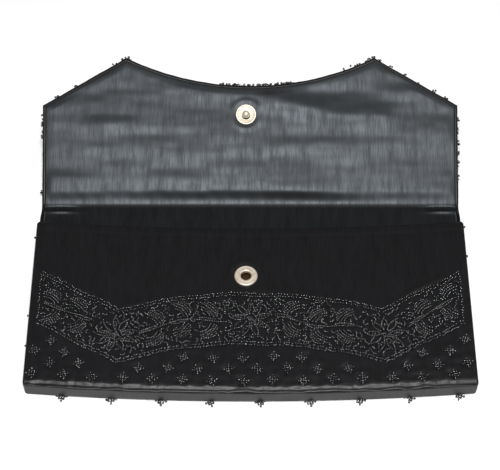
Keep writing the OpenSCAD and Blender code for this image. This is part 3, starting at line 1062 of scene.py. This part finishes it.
class CLUTCH_OT_front_lining(bpy.types.Operator):
    """Lining behind the front panel"""

    bl_idname = "clutch.front_lining"
    bl_label = "Front lining"

    def execute(self, context):
        inset = 1.3
        columns = round_columns(inset, 2.0, (SNAP_X,))
        low = panel_end(columns, inset, bottom_edge, -1)
        high = panel_end(columns, 2.0, mouth_edge, 1)
        share = np.linspace(0, 1, 70)
        run = low[None, :] + (high - low)[None, :] * share[:, None]
        across = columns[None, :] + 0 * run
        sag = 0.10 * ripple(across, run, 26, 15, 61) + 0.06 * ripple(across, run, 9, 7, 62)
        to_ends = np.minimum(run - low[None, :], high[None, :] - run)
        to_edge = np.minimum(HALF_W - np.abs(across), to_ends)
        sag = np.abs(sag) * ease(to_edge / 6)
        points = np.stack([across, run, UNDER_Z + 0.12 - sag], -1).reshape(-1, 3)
        uv = np.stack([across, run], -1).reshape(-1, 2)
        quads = grid_quads(*run.shape)[:, ::-1]
        quads = without_disc(points, quads, SNAP_X, SNAP_Y, 3.7)
        points, quads, uv = drop_loose(points, quads, uv)
        obj = make_piece("front_lining_cloth", points, quads, uv)
        finish_piece(obj, lining_satin(), "lining_satin")
        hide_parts("front_lining")
        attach(obj, "front")
        return {"FINISHED"}


class CLUTCH_OT_side_folds(bpy.types.Operator):
    """The soft folds at both sides of the mouth, satin outside and lining inside"""

    bl_idname = "clutch.side_folds"
    bl_label = "Side folds"

    def execute(self, context):
        depth_mm = sizes().fold_depth / MM
        start = FOLDS_START
        end = mouth_edge(HALF_W) - sizes().corner / MM - 0.5
        middle = (LINING_Z + UNDER_Z) / 2
        kinds = (
            ("gusset", 0.55, 0.0, 0.55, outer_satin, "black_satin"),
            ("gusset_lining", 1.5, 1.6, 0.22, lining_satin, "lining_satin"),
        )
        for side, side_name in ((-1, "left"), (1, "right")):
            for kind, x_in, deeper, z_in, finish, slot in kinds:
                along = np.linspace(0, 1, 56)[:, None]
                turn = np.linspace(-1, 1, 23)[None, :]
                fold = 1 - np.sqrt(turn**2 + 0.012) / math.sqrt(1.012)
                depth = (depth_mm + deeper) * along * (1 + 0.06 * ripple(along * 100, 0 * along, 12, 1, 71))
                crush = 0.5 * ripple(along * 100, turn * 6, 11, 4, 72) * (1 - turn**2) * along
                x = side * (HALF_W - x_in - depth * fold - 0.25 * np.abs(crush))
                half = (UNDER_Z - LINING_Z) / 2 - z_in
                z = middle + turn * half * (1 - 0.25 * fold) + 0.4 * crush * (1 - np.abs(turn))
                y = start + (end - start) * along + 0 * turn
                points = np.stack([x + 0 * y, y, z + 0 * y], -1).reshape(-1, 3)
                width = np.broadcast_to(turn * (half + depth_mm), y.shape)
                uv = np.stack([width, y], -1).reshape(-1, 2)
                quads = grid_quads(*y.shape)
                outwards = (side > 0) == (kind == "gusset")
                quads = quads[:, ::-1] if outwards else quads
                obj = make_piece(f"{side_name}_{kind}_cloth", points, quads, uv)
                finish_piece(obj, finish(), slot)
                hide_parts(f"{side_name}_{kind}")
                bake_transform(obj)
        return {"FINISHED"}


# ---- beadwork ----


def bead_tree():
    """Geometry Nodes that put one small glass bead on every point."""
    name = "Beads on threads"
    if name in bpy.data.node_groups:
        return bpy.data.node_groups[name]
    tree = bpy.data.node_groups.new(name, "GeometryNodeTree")
    face = tree.interface
    face.new_socket(name="Geometry", in_out="INPUT", socket_type="NodeSocketGeometry")
    for label, value in (("Bead radius", 0.0008), ("Bead length", BEAD_LENGTH)):
        socket = face.new_socket(name=label, in_out="INPUT", socket_type="NodeSocketFloat")
        socket.default_value = value
    face.new_socket(name="Seed", in_out="INPUT", socket_type="NodeSocketInt")
    face.new_socket(name="Finish", in_out="INPUT", socket_type="NodeSocketMaterial")
    face.new_socket(name="Geometry", in_out="OUTPUT", socket_type="NodeSocketGeometry")
    new = tree.nodes.new
    enter, leave = new("NodeGroupInput"), new("NodeGroupOutput")
    ball = new("GeometryNodeMeshUVSphere")
    ball.inputs["Segments"].default_value = 10
    ball.inputs["Rings"].default_value = 6
    shape = new("ShaderNodeCombineXYZ")
    shape.inputs[0].default_value = 1.0
    shape.inputs[1].default_value = 1.0
    press = new("GeometryNodeTransform")
    smooth = new("GeometryNodeSetShadeSmooth")
    turn = new("GeometryNodeInputNamedAttribute")
    turn.data_type = "FLOAT_VECTOR"
    turn.inputs["Name"].default_value = "bead_turn"
    euler = new("FunctionNodeEulerToRotation")
    size = new("FunctionNodeRandomValue")
    size.data_type = "FLOAT"
    put = new("GeometryNodeInstanceOnPoints")
    real = new("GeometryNodeRealizeInstances")
    paint = new("GeometryNodeSetMaterial")
    size_low = [s for s in size.inputs if s.name == "Min" and s.type == "VALUE"][0]
    size_high = [s for s in size.inputs if s.name == "Max" and s.type == "VALUE"][0]
    size_low.default_value, size_high.default_value = 0.93, 1.05
    size_out = [s for s in size.outputs if s.type == "VALUE"][0]
    turn_out = [s for s in turn.outputs if s.name == "Attribute"][0]
    link_all(
        tree,
        (enter.outputs["Bead radius"], ball.inputs["Radius"]),
        (enter.outputs["Bead length"], shape.inputs[2]),
        (ball.outputs["Mesh"], press.inputs["Geometry"]),
        (shape.outputs[0], press.inputs["Scale"]),
        (press.outputs[0], smooth.inputs["Geometry"]),
        (enter.outputs["Seed"], size.inputs["Seed"]),
        (enter.outputs["Geometry"], put.inputs["Points"]),
        (smooth.outputs[0], put.inputs["Instance"]),
        (turn_out, euler.inputs[0]),
        (euler.outputs[0], put.inputs["Rotation"]),
        (size_out, put.inputs["Scale"]),
        (put.outputs[0], real.inputs[0]),
        (real.outputs[0], paint.inputs["Geometry"]),
        (enter.outputs["Finish"], paint.inputs["Material"]),
        (paint.outputs[0], leave.inputs["Geometry"]),
    )
    return tree


def sew_beads(name, places, body, nodes=()):
    """Turns (position, thread direction) pairs, in millimetres, into one mesh of beads on a body."""
    rng = random.Random(f"{beads().seed} {name}")
    mesh = bpy.data.meshes.new(name + "_points")
    mesh.from_pydata([tuple(c * MM for c in p) for p, _ in places], [], [])
    turns, tones = [], []
    for _, direction in places:
        axis = Vector(direction) + Vector([rng.uniform(-0.14, 0.14) for _ in range(3)])
        turns += list(axis.to_track_quat("Z", "X").to_euler())
        tones.append(rng.random())
    mesh.attributes.new("bead_turn", "FLOAT_VECTOR", "POINT").data.foreach_set("vector", turns)
    mesh.attributes.new("bead_tone", "FLOAT", "POINT").data.foreach_set("value", tones)
    holder = bpy.data.objects.new(name + "_points", mesh)
    bpy.context.scene.collection.objects.link(holder)
    tree = bead_tree()
    modifier = holder.modifiers.new("Beads", "NODES")
    modifier.node_group = tree
    wanted = {
        "Bead radius": beads().radius,
        "Bead length": BEAD_LENGTH,
        "Seed": beads().seed,
        "Finish": bead_glass(),
    }
    for item in tree.interface.items_tree:
        if item.item_type == "SOCKET" and item.in_out == "INPUT" and item.name in wanted:
            modifier[item.identifier] = wanted[item.name]
    graph = bpy.context.evaluated_depsgraph_get()
    made = bpy.data.meshes.new_from_object(holder.evaluated_get(graph))
    if not made.polygons:
        raise RuntimeError(f"{name}: no beads were made")
    made.attributes.remove(made.attributes["bead_turn"])
    bpy.data.objects.remove(holder)
    obj = bpy.data.objects.new(name, made)
    made.name = name
    bpy.context.scene.collection.objects.link(obj)
    if nodes:
        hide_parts(*nodes)
    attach(obj, body)
    return obj


def along_line(line, pitch):
    """Points at an even pitch on a polyline of (x, height), each with its direction."""
    line = np.asarray(line, float)
    step = np.linalg.norm(np.diff(line, axis=0), axis=1)
    total = np.concatenate([[0], np.cumsum(step)])
    count = max(1, int(total[-1] / pitch))
    out = []
    for s in np.linspace(0, total[-1], count + 1):
        k = min(int(np.searchsorted(total, s, side="right")) - 1, len(step) - 1)
        t = (s - total[k]) / max(step[k], 1e-9)
        p = line[k] + (line[k + 1] - line[k]) * t
        d = (line[k + 1] - line[k]) / max(step[k], 1e-9)
        out.append((p[0], p[1], d[0], d[1]))
    return out


class Sewing:
    """Beads sewn on one panel. A bead that would sit in another one is left out."""

    def __init__(self, seed):
        self.rng = random.Random(seed)
        self.cells = {}
        self.lots = {}

    def free(self, x, h, gap):
        """Whether no bead is nearer than the gap."""
        i, j = int(x // CELL), int(h // CELL)
        for a in (i - 1, i, i + 1):
            for b in (j - 1, j, j + 1):
                for px, ph in self.cells.get((a, b), ()):
                    if (px - x) ** 2 + (ph - h) ** 2 < gap * gap:
                        return False
        return True

    def bead(self, lot, x, h, dx=1.0, dh=0.0, lift=0.0, gap=CLOSEST, jitter=0.06):
        """One bead whose thread runs along (dx, dh). A lifted bead sits on top of others."""
        x += self.rng.uniform(-jitter, jitter)
        h += self.rng.uniform(-jitter, jitter)
        if lift == 0.0 and not self.free(x, h, gap):
            return
        self.cells.setdefault((int(x // CELL), int(h // CELL)), []).append((x, h))
        self.lots.setdefault(lot, []).append((x, h, dx, dh, lift + self.rng.uniform(0, 0.16)))

    def strand(self, lot, line, gap=CLOSEST):
        """Beads threaded along a line."""
        for x, h, dx, dh in along_line(line, beads().pitch / MM):
            self.bead(lot, x, h, dx, dh, gap=gap)

    def cross(self, x, h):
        """A knot of beads with four short arms."""
        turn = self.rng.uniform(-0.30, 0.30)
        reach = beads().cross / MM / 2
        for ring, start in ((1.40, 0.0), (reach - 0.55, 0.0), (1.80, math.pi / 4)):
            for k in range(4):
                a = turn + start + k * math.pi / 2 + self.rng.uniform(-0.12, 0.12)
                c, s = math.cos(a), math.sin(a)
                self.bead("crosses", x + ring * c, h + ring * s, c, s, gap=1.05)
        self.bead("crosses", x, h, lift=0.5)


def arc_strand(x, h, angle, length, bulge, start=0.0):
    """A curved strand that leaves (x, h) at an angle and bulges to one side."""
    c, s = math.cos(angle), math.sin(angle)
    line = []
    for k in range(13):
        t = k / 12
        along = start + (length - start) * t
        side = bulge * math.sin(math.pi * t)
        line.append((x + along * c - side * s, h + along * s + side * c))
    return line


def sew_border(sewing, border):
    """Two rows of beads whose pairs lean to and fro."""
    xs = np.linspace(-BORDER_END, BORDER_END, 477)
    hs = border_line(xs, border)
    line = np.stack([xs, hs], 1)
    step = np.concatenate([[0], np.cumsum(np.linalg.norm(np.diff(line, axis=0), axis=1))])
    count = int(step[-1] / BORDER_PITCH)
    for k in range(count + 1):
        s = step[-1] * k / count
        x = np.interp(s, step, xs)
        h = np.interp(s, step, hs)
        slope = border_line(x + 0.5, border) - border_line(x - 0.5, border)
        wander = 0.35 * math.sin(k * 0.21) + 0.25 * math.sin(k * 0.083 + 1)
        lean = 0.62 if (k // 2) % 2 == 0 else -0.62
        for row in (-1, 1):
            off = row * 0.80 + wander + 0.25 * lean
            px = x + 0.35 * lean * row - off * slope * 0.8
            sewing.bead("borders", px, h + off, 1.0, slope + lean, gap=0.98, jitter=0.16)


def sew_flower(sewing, x, h, seed):
    """A raised middle bead, five round it and petals of curved strands."""
    rng = random.Random(seed)
    sewing.bead("flowers", x, h, lift=0.7)
    for k in range(5):
        a = 2 * math.pi * k / 5
        sewing.bead("flowers", x + 1.1 * math.cos(a), h + 1.1 * math.sin(a), gap=0.7)
    petals = 9
    for k in range(petals):
        a = 2 * math.pi * (k + 0.3) / petals + rng.uniform(-0.08, 0.08)
        length = rng.uniform(10.8, 12.8)
        sewing.strand("flowers", arc_strand(x, h, a, length, 1.55, 2.0))
        sewing.strand("flowers", arc_strand(x, h, a, length - 1.0, -1.55, 2.0))
        if k % 2 == 0:
            sewing.strand("flowers", arc_strand(x, h, a, length - 1.5, 0.0, 4.0), gap=1.1)


def sew_leaf(sewing, x, up, seed):
    """A leaf of side-by-side curved strands that points away from the middle flower."""
    rng = random.Random(seed)
    outer = 1 if x > 0 else -1
    lean = math.radians(rng.uniform(32, 44)) * up
    angle = lean if outer > 0 else math.pi - lean
    c, s = math.cos(angle), math.sin(angle)
    middle = float(stem_line(x)) + up * 6.9
    for k, length in enumerate((7.5, 10.0, 11.2, 9.6, 6.8)):
        side = (k - 2) * 1.50
        length += rng.uniform(-0.5, 0.5)
        px, ph = x - c * length / 2 - s * side, middle - s * length / 2 + c * side
        sewing.strand("leaves", arc_strand(px, ph, angle, length, 1.1 * up * outer), gap=0.96)


def sew_band(seed):
    """The whole band: borders, flowers, stems, leaves, closed ends and picots in the gaps."""
    sewing = Sewing(seed)
    for border in (UPPER_BORDER, LOWER_BORDER):
        sew_border(sewing, border)
    for k, x in enumerate(FLOWERS):
        sew_flower(sewing, x, float(band_centre(x)), seed + k)
    for low, high in STEMS:
        xs = np.linspace(low, high, 25)
        sewing.strand("stems", np.stack([xs, stem_line(xs)], 1))
        wander = 1.7 * np.sin((xs - low) * 0.19 + 0.6)
        sewing.strand("stems", np.stack([xs, stem_line(xs) + wander], 1), gap=1.0)
    for k, x in enumerate(LEAVES):
        for up in (-1, 1):
            sew_leaf(sewing, x, up, seed * 31 + k * 2 + up)
    for side in (-1, 1):
        x = side * 120.6
        low = float(border_line(x, LOWER_BORDER)) + 0.5
        high = float(border_line(x, UPPER_BORDER)) - 1.0
        for h in np.arange(low, high, 1.7):
            sewing.bead("borders", x - side * 1.1, h, 0, 1, jitter=0.45)
    rng = random.Random(seed + 99)
    for _ in range(1500):
        x = rng.uniform(-118, 118)
        low, high = float(border_line(x, LOWER_BORDER)), float(border_line(x, UPPER_BORDER))
        h = rng.uniform(low + 2.2, high - 2.2)
        if sewing.free(x, h, 1.5):
            a = rng.uniform(0, 2 * math.pi)
            for r in (-1.05, 0, 1.05):
                bend = 0.5 if r else 0.0
                px = x + r * math.cos(a) - bend * math.sin(a)
                ph = h + r * math.sin(a) + bend * math.cos(a)
                sewing.bead("borders", px, ph, gap=1.05)
    return sewing


def place_beads(lot, position):
    """Puts a lot's beads on a surface. position maps x, height and lift to a point in millimetres."""
    x, h, dx, dh, lift = np.array(lot, float).T
    here = position(x, h, lift)
    there = position(x + dx * 0.1, h + dh * 0.1, lift)
    return list(zip(here.tolist(), (there - here).tolist()))


def on_front(x, h, lift):
    """A bead's centre on the front."""
    y = BOTTOM_Y + h
    return np.stack([x, y, FRONT_Z + front_relief(x, y) + FRONT_BEAD_RISE + lift], -1)


def under_back(x, y, lift):
    """A bead's centre under the back."""
    return np.stack([x, y, BACK_Z - BEAD_RISE + 0 * x], -1)


def outside_flap(x, run, lift):
    """A bead's centre outside the flap."""
    return flap_place(x, run, -BEAD_RISE - lift)


def flap_run(h):
    """Run on the flap of a height in the band, which mirrors the front's."""
    return sizes().middle_run / MM - FLAP_BAND - (h - LOWER_BORDER[0])


def within_flap(x, h):
    """Whether a band bead is on the flap's cloth."""
    run = flap_run(h)
    return run < float(flap_edge(x)) - 0.6 and abs(x) < FLAP_HALF_W - 0.8 and run > 6


class CLUTCH_OT_front_beads(bpy.types.Operator):
    """The band of bead embroidery on the front"""

    bl_idname = "clutch.front_beads"
    bl_label = "Front beadwork"

    def execute(self, context):
        sewing = sew_band(beads().seed)
        for lot, items in sewing.lots.items():
            sew_beads(f"front_{lot}", place_beads(items, on_front), "front", [f"front_bead_{lot}"])
        return {"FINISHED"}


class CLUTCH_OT_flap_beads(bpy.types.Operator):
    """The band of bead embroidery outside the flap, and the bunches that stand on its rim"""

    bl_idname = "clutch.flap_beads"
    bl_label = "Flap beadwork"

    def execute(self, context):
        sewing = sew_band(beads().seed + 40)
        for lot, items in sewing.lots.items():
            kept = [(x, flap_run(h), dx, -dh, lift) for x, h, dx, dh, lift in items if within_flap(x, h)]
            sew_beads(f"flap_{lot}", place_beads(kept, outside_flap), "flap", [f"flap_bead_{lot}"])
        sew_beads("flap_rim_bunches", self.rim_bunches(), "flap")
        return {"FINISHED"}

    def rim_bunches(self):
        """Small bunches of beads that peek out past the rim."""
        rng = random.Random(beads().seed + 7)
        places = []
        side = FLAP_HALF_W
        spots = [(-side, u, -1, 0) for u in (7, 40, 44, 48, 52)]
        spots += [(side, u, 1, 0) for u in (16, 24, 30, 37, 44, 51)]
        for x in (-81, -77, -74, -72, 57, 62, 66, 70, 73, 75, 78, *range(-17, 26, 2)):
            spots.append((x + rng.uniform(-0.8, 0.8), None, 0, 1))
        for x in (-116, -104, 84, 93, 101, 110, 117):
            spots.append((x, None, 0, 1))
        for x, run, nx, nu in spots:
            run = float(flap_edge(x)) if run is None else run
            count = rng.choice((3, 4, 5))
            for _ in range(count):
                a, b = rng.uniform(-1.6, 1.6), rng.uniform(-0.5, 0.7)
                depth = rng.uniform(-0.5, 1.2)
                px = x + a * (1 - abs(nx)) + nx * (b + 0.35)
                pu = run + a * (1 - abs(nu)) + nu * (b + 0.25)
                here = flap_place(px, pu, depth - ROLL * 0.2)
                places.append((tuple(here), tuple(rng.uniform(-1, 1) for _ in range(3))))
        return places


def nudged(rng, centres, reach):
    """Centres that are each a little off their place."""
    return [(x + rng.uniform(-reach, reach), h + rng.uniform(-reach, reach)) for x, h in centres]


def edge_centres():
    """Centres of the crosses round the back's edge."""
    xs = [5.5 + BACK_PITCH * col for col in range(-4, 5)]
    centres = [(x, float(bottom_edge(x)) + 0.4) for x in xs]
    centres += [(0.4 - HALF_W, y) for y in (-27, -8.5, 45)]
    return centres + [(HALF_W - 0.4, y) for y in (31.5, 53)]


class CLUTCH_OT_crosses(bpy.types.Operator):
    """The small crosses of beads on the front, the back, the flap and the edges"""

    bl_idname = "clutch.crosses"
    bl_label = "Bead crosses"

    def execute(self, context):
        rng = random.Random(beads().seed + 3)
        front = nudged(rng, front_crosses(), 0.7)
        back = nudged(rng, plain_crosses(-5, 5), 0.6)
        flap = [(x, run + 1.5 * BACK_ROW) for x, run in plain_crosses(0, 1)]
        for panel, seed, centres, position, body in (
            ("front", 1, front, on_front, "front"),
            ("back", 2, back, under_back, "purse"),
            ("flap", 4, flap, outside_flap, "flap"),
            ("edge", 5, edge_centres(), under_back, "purse"),
        ):
            sewing = Sewing(beads().seed + seed)
            for x, h in centres:
                sewing.cross(x, h)
            places = place_beads(sewing.lots["crosses"], position)
            sew_beads(f"{panel}_crosses", places, body, [f"{panel}_clusters"])
        return {"FINISHED"}


# ---- press snap ----


def on_snap_front(points):
    """From the socket's own axis to the front."""
    return np.asarray(points) + np.array([SNAP_X, SNAP_Y, FRONT_Z])


def on_snap_back(points):
    """From the stud's own axis to the flap's lining."""
    points = np.asarray(points)
    return flap_place(points[:, 0] + SNAP_X, points[:, 1] + STUD_RUN, PANEL_T + points[:, 2])


def round_profile(corners, radius, steps=4):
    """A profile with its inner corners rounded off."""
    out = [corners[0]]
    for a, b, c in zip(corners, corners[1:], corners[2:]):
        ab, cb = np.subtract(a, b), np.subtract(c, b)
        la, lc = np.linalg.norm(ab), np.linalg.norm(cb)
        r = min(radius, la * 0.45, lc * 0.45)
        p, q = np.add(b, ab / la * r), np.add(b, cb / lc * r)
        for k in range(steps + 1):
            t = k / steps
            point = (1 - t) ** 2 * p + 2 * t * (1 - t) * np.array(b) + t * t * q
            out.append((float(point[0]), float(point[1])))
    out.append(corners[-1])
    return out


class CLUTCH_OT_press_snap(bpy.types.Operator):
    """The socket with its spring and cap on the front, and the stud on the flap"""

    bl_idname = "clutch.press_snap"
    bl_label = "Press snap"

    def execute(self, context):
        for obj, finish, slot, node, body in (
            (self.socket(), snap_metal, "snap_metal", "snap_socket", "front"),
            (self.spring(), spring_brass, "snap_spring_brass", "snap_spring", "front"),
            (self.cap(), snap_metal, "snap_metal", "snap_socket_cap", "front"),
            (self.stud(), snap_metal, "snap_metal", "snap_stud", "flap"),
        ):
            finish_piece(obj, finish(), slot)
            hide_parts(node)
            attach(obj, body)
        return {"FINISHED"}

    def socket(self):
        """A turned ring with a rolled lip round its bore and a tube through the front."""
        r = (edge_of("snap_socket", True, 0) - edge_of("snap_socket", False, 0)) / 2
        top = edge_of("snap_socket", True, 2) - FRONT_Z
        tube = UNDER_Z - FRONT_Z
        loop = [
            (3.05, tube + 0.1),
            (3.8, tube),
            (3.8, -0.1),
            (4.6, 0.0),
            (r - 0.15, 0.0),
            (r, 0.18),
            (r, top - 0.62),
            (r - 0.32, top - 0.16),
            (r - 0.7, top - 0.04),
            (r - 0.95, top - 0.10),
            (4.55, top - 0.08),
            (4.15, top - 0.02),
            (3.55, top + 0.02),
            (3.05, top - 0.28),
            (3.0, top - 0.9),
            (3.05, tube + 0.1),
        ]
        profile = round_profile(loop, 0.22)
        profile[-1] = profile[0]
        return lathe("snap_socket_ring", profile, on_snap_front)

    def cap(self):
        """The turned cover under the socket."""
        top = UNDER_Z - FRONT_Z + 0.02
        corners = [
            (0.0, top),
            (4.85, top),
            (5.0, top - 0.14),
            (4.7, top - 0.36),
            (3.2, top - 0.44),
            (0.0, top - 0.48),
        ]
        return lathe("snap_socket_cover", round_profile(corners, 0.1), on_snap_front)

    def spring(self):
        """A six-sided ring of wire inside the bore."""
        wire, around, sides = 0.2, 84, 10
        points, quads = [], []
        for k in range(around):
            a = 2 * math.pi * k / around
            sector = (a + math.pi / 6) % (math.pi / 3) - math.pi / 6
            r = min(2.55 / math.cos(sector), 2.74)
            for m in range(sides):
                b = 2 * math.pi * m / sides
                reach = r + wire * math.cos(b)
                height = 1.5 * wire * math.sin(b) - 0.15
                points.append((reach * math.cos(a), reach * math.sin(a), height))
        for k in range(around):
            for m in range(sides):
                n, o = (k + 1) % around, (m + 1) % sides
                quads.append((k * sides + m, n * sides + m, n * sides + o, k * sides + o))
        return make_piece("snap_socket_spring", on_snap_front(points), quads)

    def stud(self):
        """A turned flange with a dished face and a ball on a neck."""
        r = 6.1
        corners = [
            (0.0, 0.02),
            (r - 0.3, 0.02),
            (r, 0.25),
            (r, 0.85),
            (r - 0.28, 1.16),
            (r - 0.75, 1.20),
            (r - 1.0, 0.98),
            (3.6, 0.56),
            (2.1, 0.22),
            (1.6, 0.50),
            (1.5, 1.35),
        ]
        profile = round_profile(corners, 0.16)
        ball, height = 2.3, 2.7
        for k in range(12):
            a = math.radians(-49 + 139 * k / 12)
            profile.append((ball * math.cos(a), height + ball * math.sin(a)))
        profile.append((0.0, height + ball))
        return lathe("snap_stud_ball", profile, on_snap_back)


# ---- inside layers ----


class CLUTCH_OT_inside_layers(bpy.types.Operator):
    """Finishes of the boards, the fleece and the rivet, whose shapes are the frame's own"""

    bl_idname = "clutch.inside_layers"
    bl_label = "Inside layers"

    def execute(self, context):
        finishes = {"board": board_finish, "fleece": fleece_finish, "rivet": snap_metal}
        for name, node in frame["nodes"].items():
            for word, finish in finishes.items():
                if name.endswith(word):
                    node.data.materials.clear()
                    node.data.materials.append(finish())
        return {"FINISHED"}


# ---- stage ----


class CLUTCH_OT_stage(bpy.types.Operator):
    """White table, soft lights and the camera"""

    bl_idname = "clutch.stage"
    bl_label = "Stage"

    def execute(self, context):
        scene = context.scene
        scene.view_settings.view_transform = "Standard"
        self.table()
        self.lights(scene)
        self.camera(scene)
        return {"FINISHED"}

    def table(self):
        """A matt white table top under the purse."""
        half, top = 3000, -0.2
        corners = [(-half, -half, top), (half, -half, top), (half, half, top), (-half, half, top)]
        floor = make_piece("table_top", corners, [(0, 1, 2, 3)])
        material, tree, bsdf = shader("White table")
        place = tree.nodes.new("ShaderNodeTexCoord")
        grain = noise_node(tree, place.outputs["Object"], 30.0, 3.0)
        white = mixed(tree, grain, (0.93, 0.93, 0.93), (0.95, 0.95, 0.95))
        tree.links.new(white, bsdf.inputs["Base Color"])
        bsdf.inputs["Roughness"].default_value = 1.0
        bsdf.inputs["Specular IOR Level"].default_value = 0.0
        floor.data.materials.append(material)
        floor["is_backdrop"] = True

    def lights(self, scene):
        """A dim white room, a lamp in front and above, and a broad one overhead."""
        world = bpy.data.worlds.new("Room")
        world.use_nodes = True
        world.node_tree.nodes["Background"].inputs["Color"].default_value = (1, 1, 1, 1)
        world.node_tree.nodes["Background"].inputs["Strength"].default_value = 0.10
        scene.world = world
        centre = Vector((0.0, 0.03, 0.02))
        for name, direction, distance, size, power in (
            ("Key", (0.0, -0.44, 0.90), 1.3, 0.34, 21.0),
            ("Top", (0.35, 0.10, 1.0), 2.4, 0.8, 7.0),
        ):
            lamp = bpy.data.lights.new(name, "AREA")
            lamp.shape = "DISK"
            lamp.size = size
            lamp.energy = power
            obj = bpy.data.objects.new(name, lamp)
            d = Vector(direction).normalized()
            obj.location = centre + d * distance
            obj.rotation_euler = d.to_track_quat("Z", "Y").to_euler()
            scene.collection.objects.link(obj)

    def camera(self, scene):
        """A long lens that looks down at the open purse from the front."""
        lens = bpy.data.cameras.new("Camera")
        lens.lens = 107.04
        lens.sensor_width = 36.0
        lens.shift_x = 0.0056
        camera = bpy.data.objects.new("Camera", lens)
        aim = Vector((-0.0018, 0.0463, 0.0015))
        place = Vector((-0.0018, -0.4330, 0.7395))
        camera.location = place
        camera.rotation_euler = (aim - place).to_track_quat("-Z", "Y").to_euler()
        scene.collection.objects.link(camera)
        scene.camera = camera


# ---- sidebar and registration ----

STEPS = (
    CLUTCH_OT_stage,
    CLUTCH_OT_inside_layers,
    CLUTCH_OT_front_cover,
    CLUTCH_OT_back_cover,
    CLUTCH_OT_lining,
    CLUTCH_OT_front_lining,
    CLUTCH_OT_side_folds,
    CLUTCH_OT_front_beads,
    CLUTCH_OT_flap_beads,
    CLUTCH_OT_crosses,
    CLUTCH_OT_press_snap,
)
GROUPS = (ClutchSizes, ClutchBeads, ClutchColours)


class CLUTCH_PT_sidebar(bpy.types.Panel):
    """Sizes, colours and the steps that build the purse"""

    bl_label = "Evening clutch"
    bl_idname = "CLUTCH_PT_sidebar"
    bl_space_type = "VIEW_3D"
    bl_region_type = "UI"
    bl_category = "Clutch"

    def draw(self, context):
        for group in (sizes(), beads(), colours()):
            box = self.layout.box()
            for name in group.bl_rna.properties.keys():
                if name not in ("rna_type", "name"):
                    box.prop(group, name)
        for step in STEPS:
            self.layout.operator(step.bl_idname)


def register():
    """Registers the sizes, the steps and the panel."""
    for item in (*GROUPS, *STEPS, CLUTCH_PT_sidebar):
        bpy.utils.register_class(item)
    bpy.types.Scene.clutch_sizes = bpy.props.PointerProperty(type=ClutchSizes)
    bpy.types.Scene.clutch_beads = bpy.props.PointerProperty(type=ClutchBeads)
    bpy.types.Scene.clutch_colours = bpy.props.PointerProperty(type=ClutchColours)


def unregister():
    """Takes out what register put in, the other way round."""
    del bpy.types.Scene.clutch_colours
    del bpy.types.Scene.clutch_beads
    del bpy.types.Scene.clutch_sizes
    for item in (CLUTCH_PT_sidebar, *reversed(STEPS), *reversed(GROUPS)):
        bpy.utils.unregister_class(item)


def main():
    """Builds the purse step by step."""
    register()
    for step in STEPS:
        group, name = step.bl_idname.split(".")
        getattr(getattr(bpy.ops, group), name)()
    boxes = {"cad": CAD_BOX, "visual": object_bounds()}
    {k: [list(corner) for corner in box] for k, box in boxes.items()}


if __name__ == "__main__":
    main()
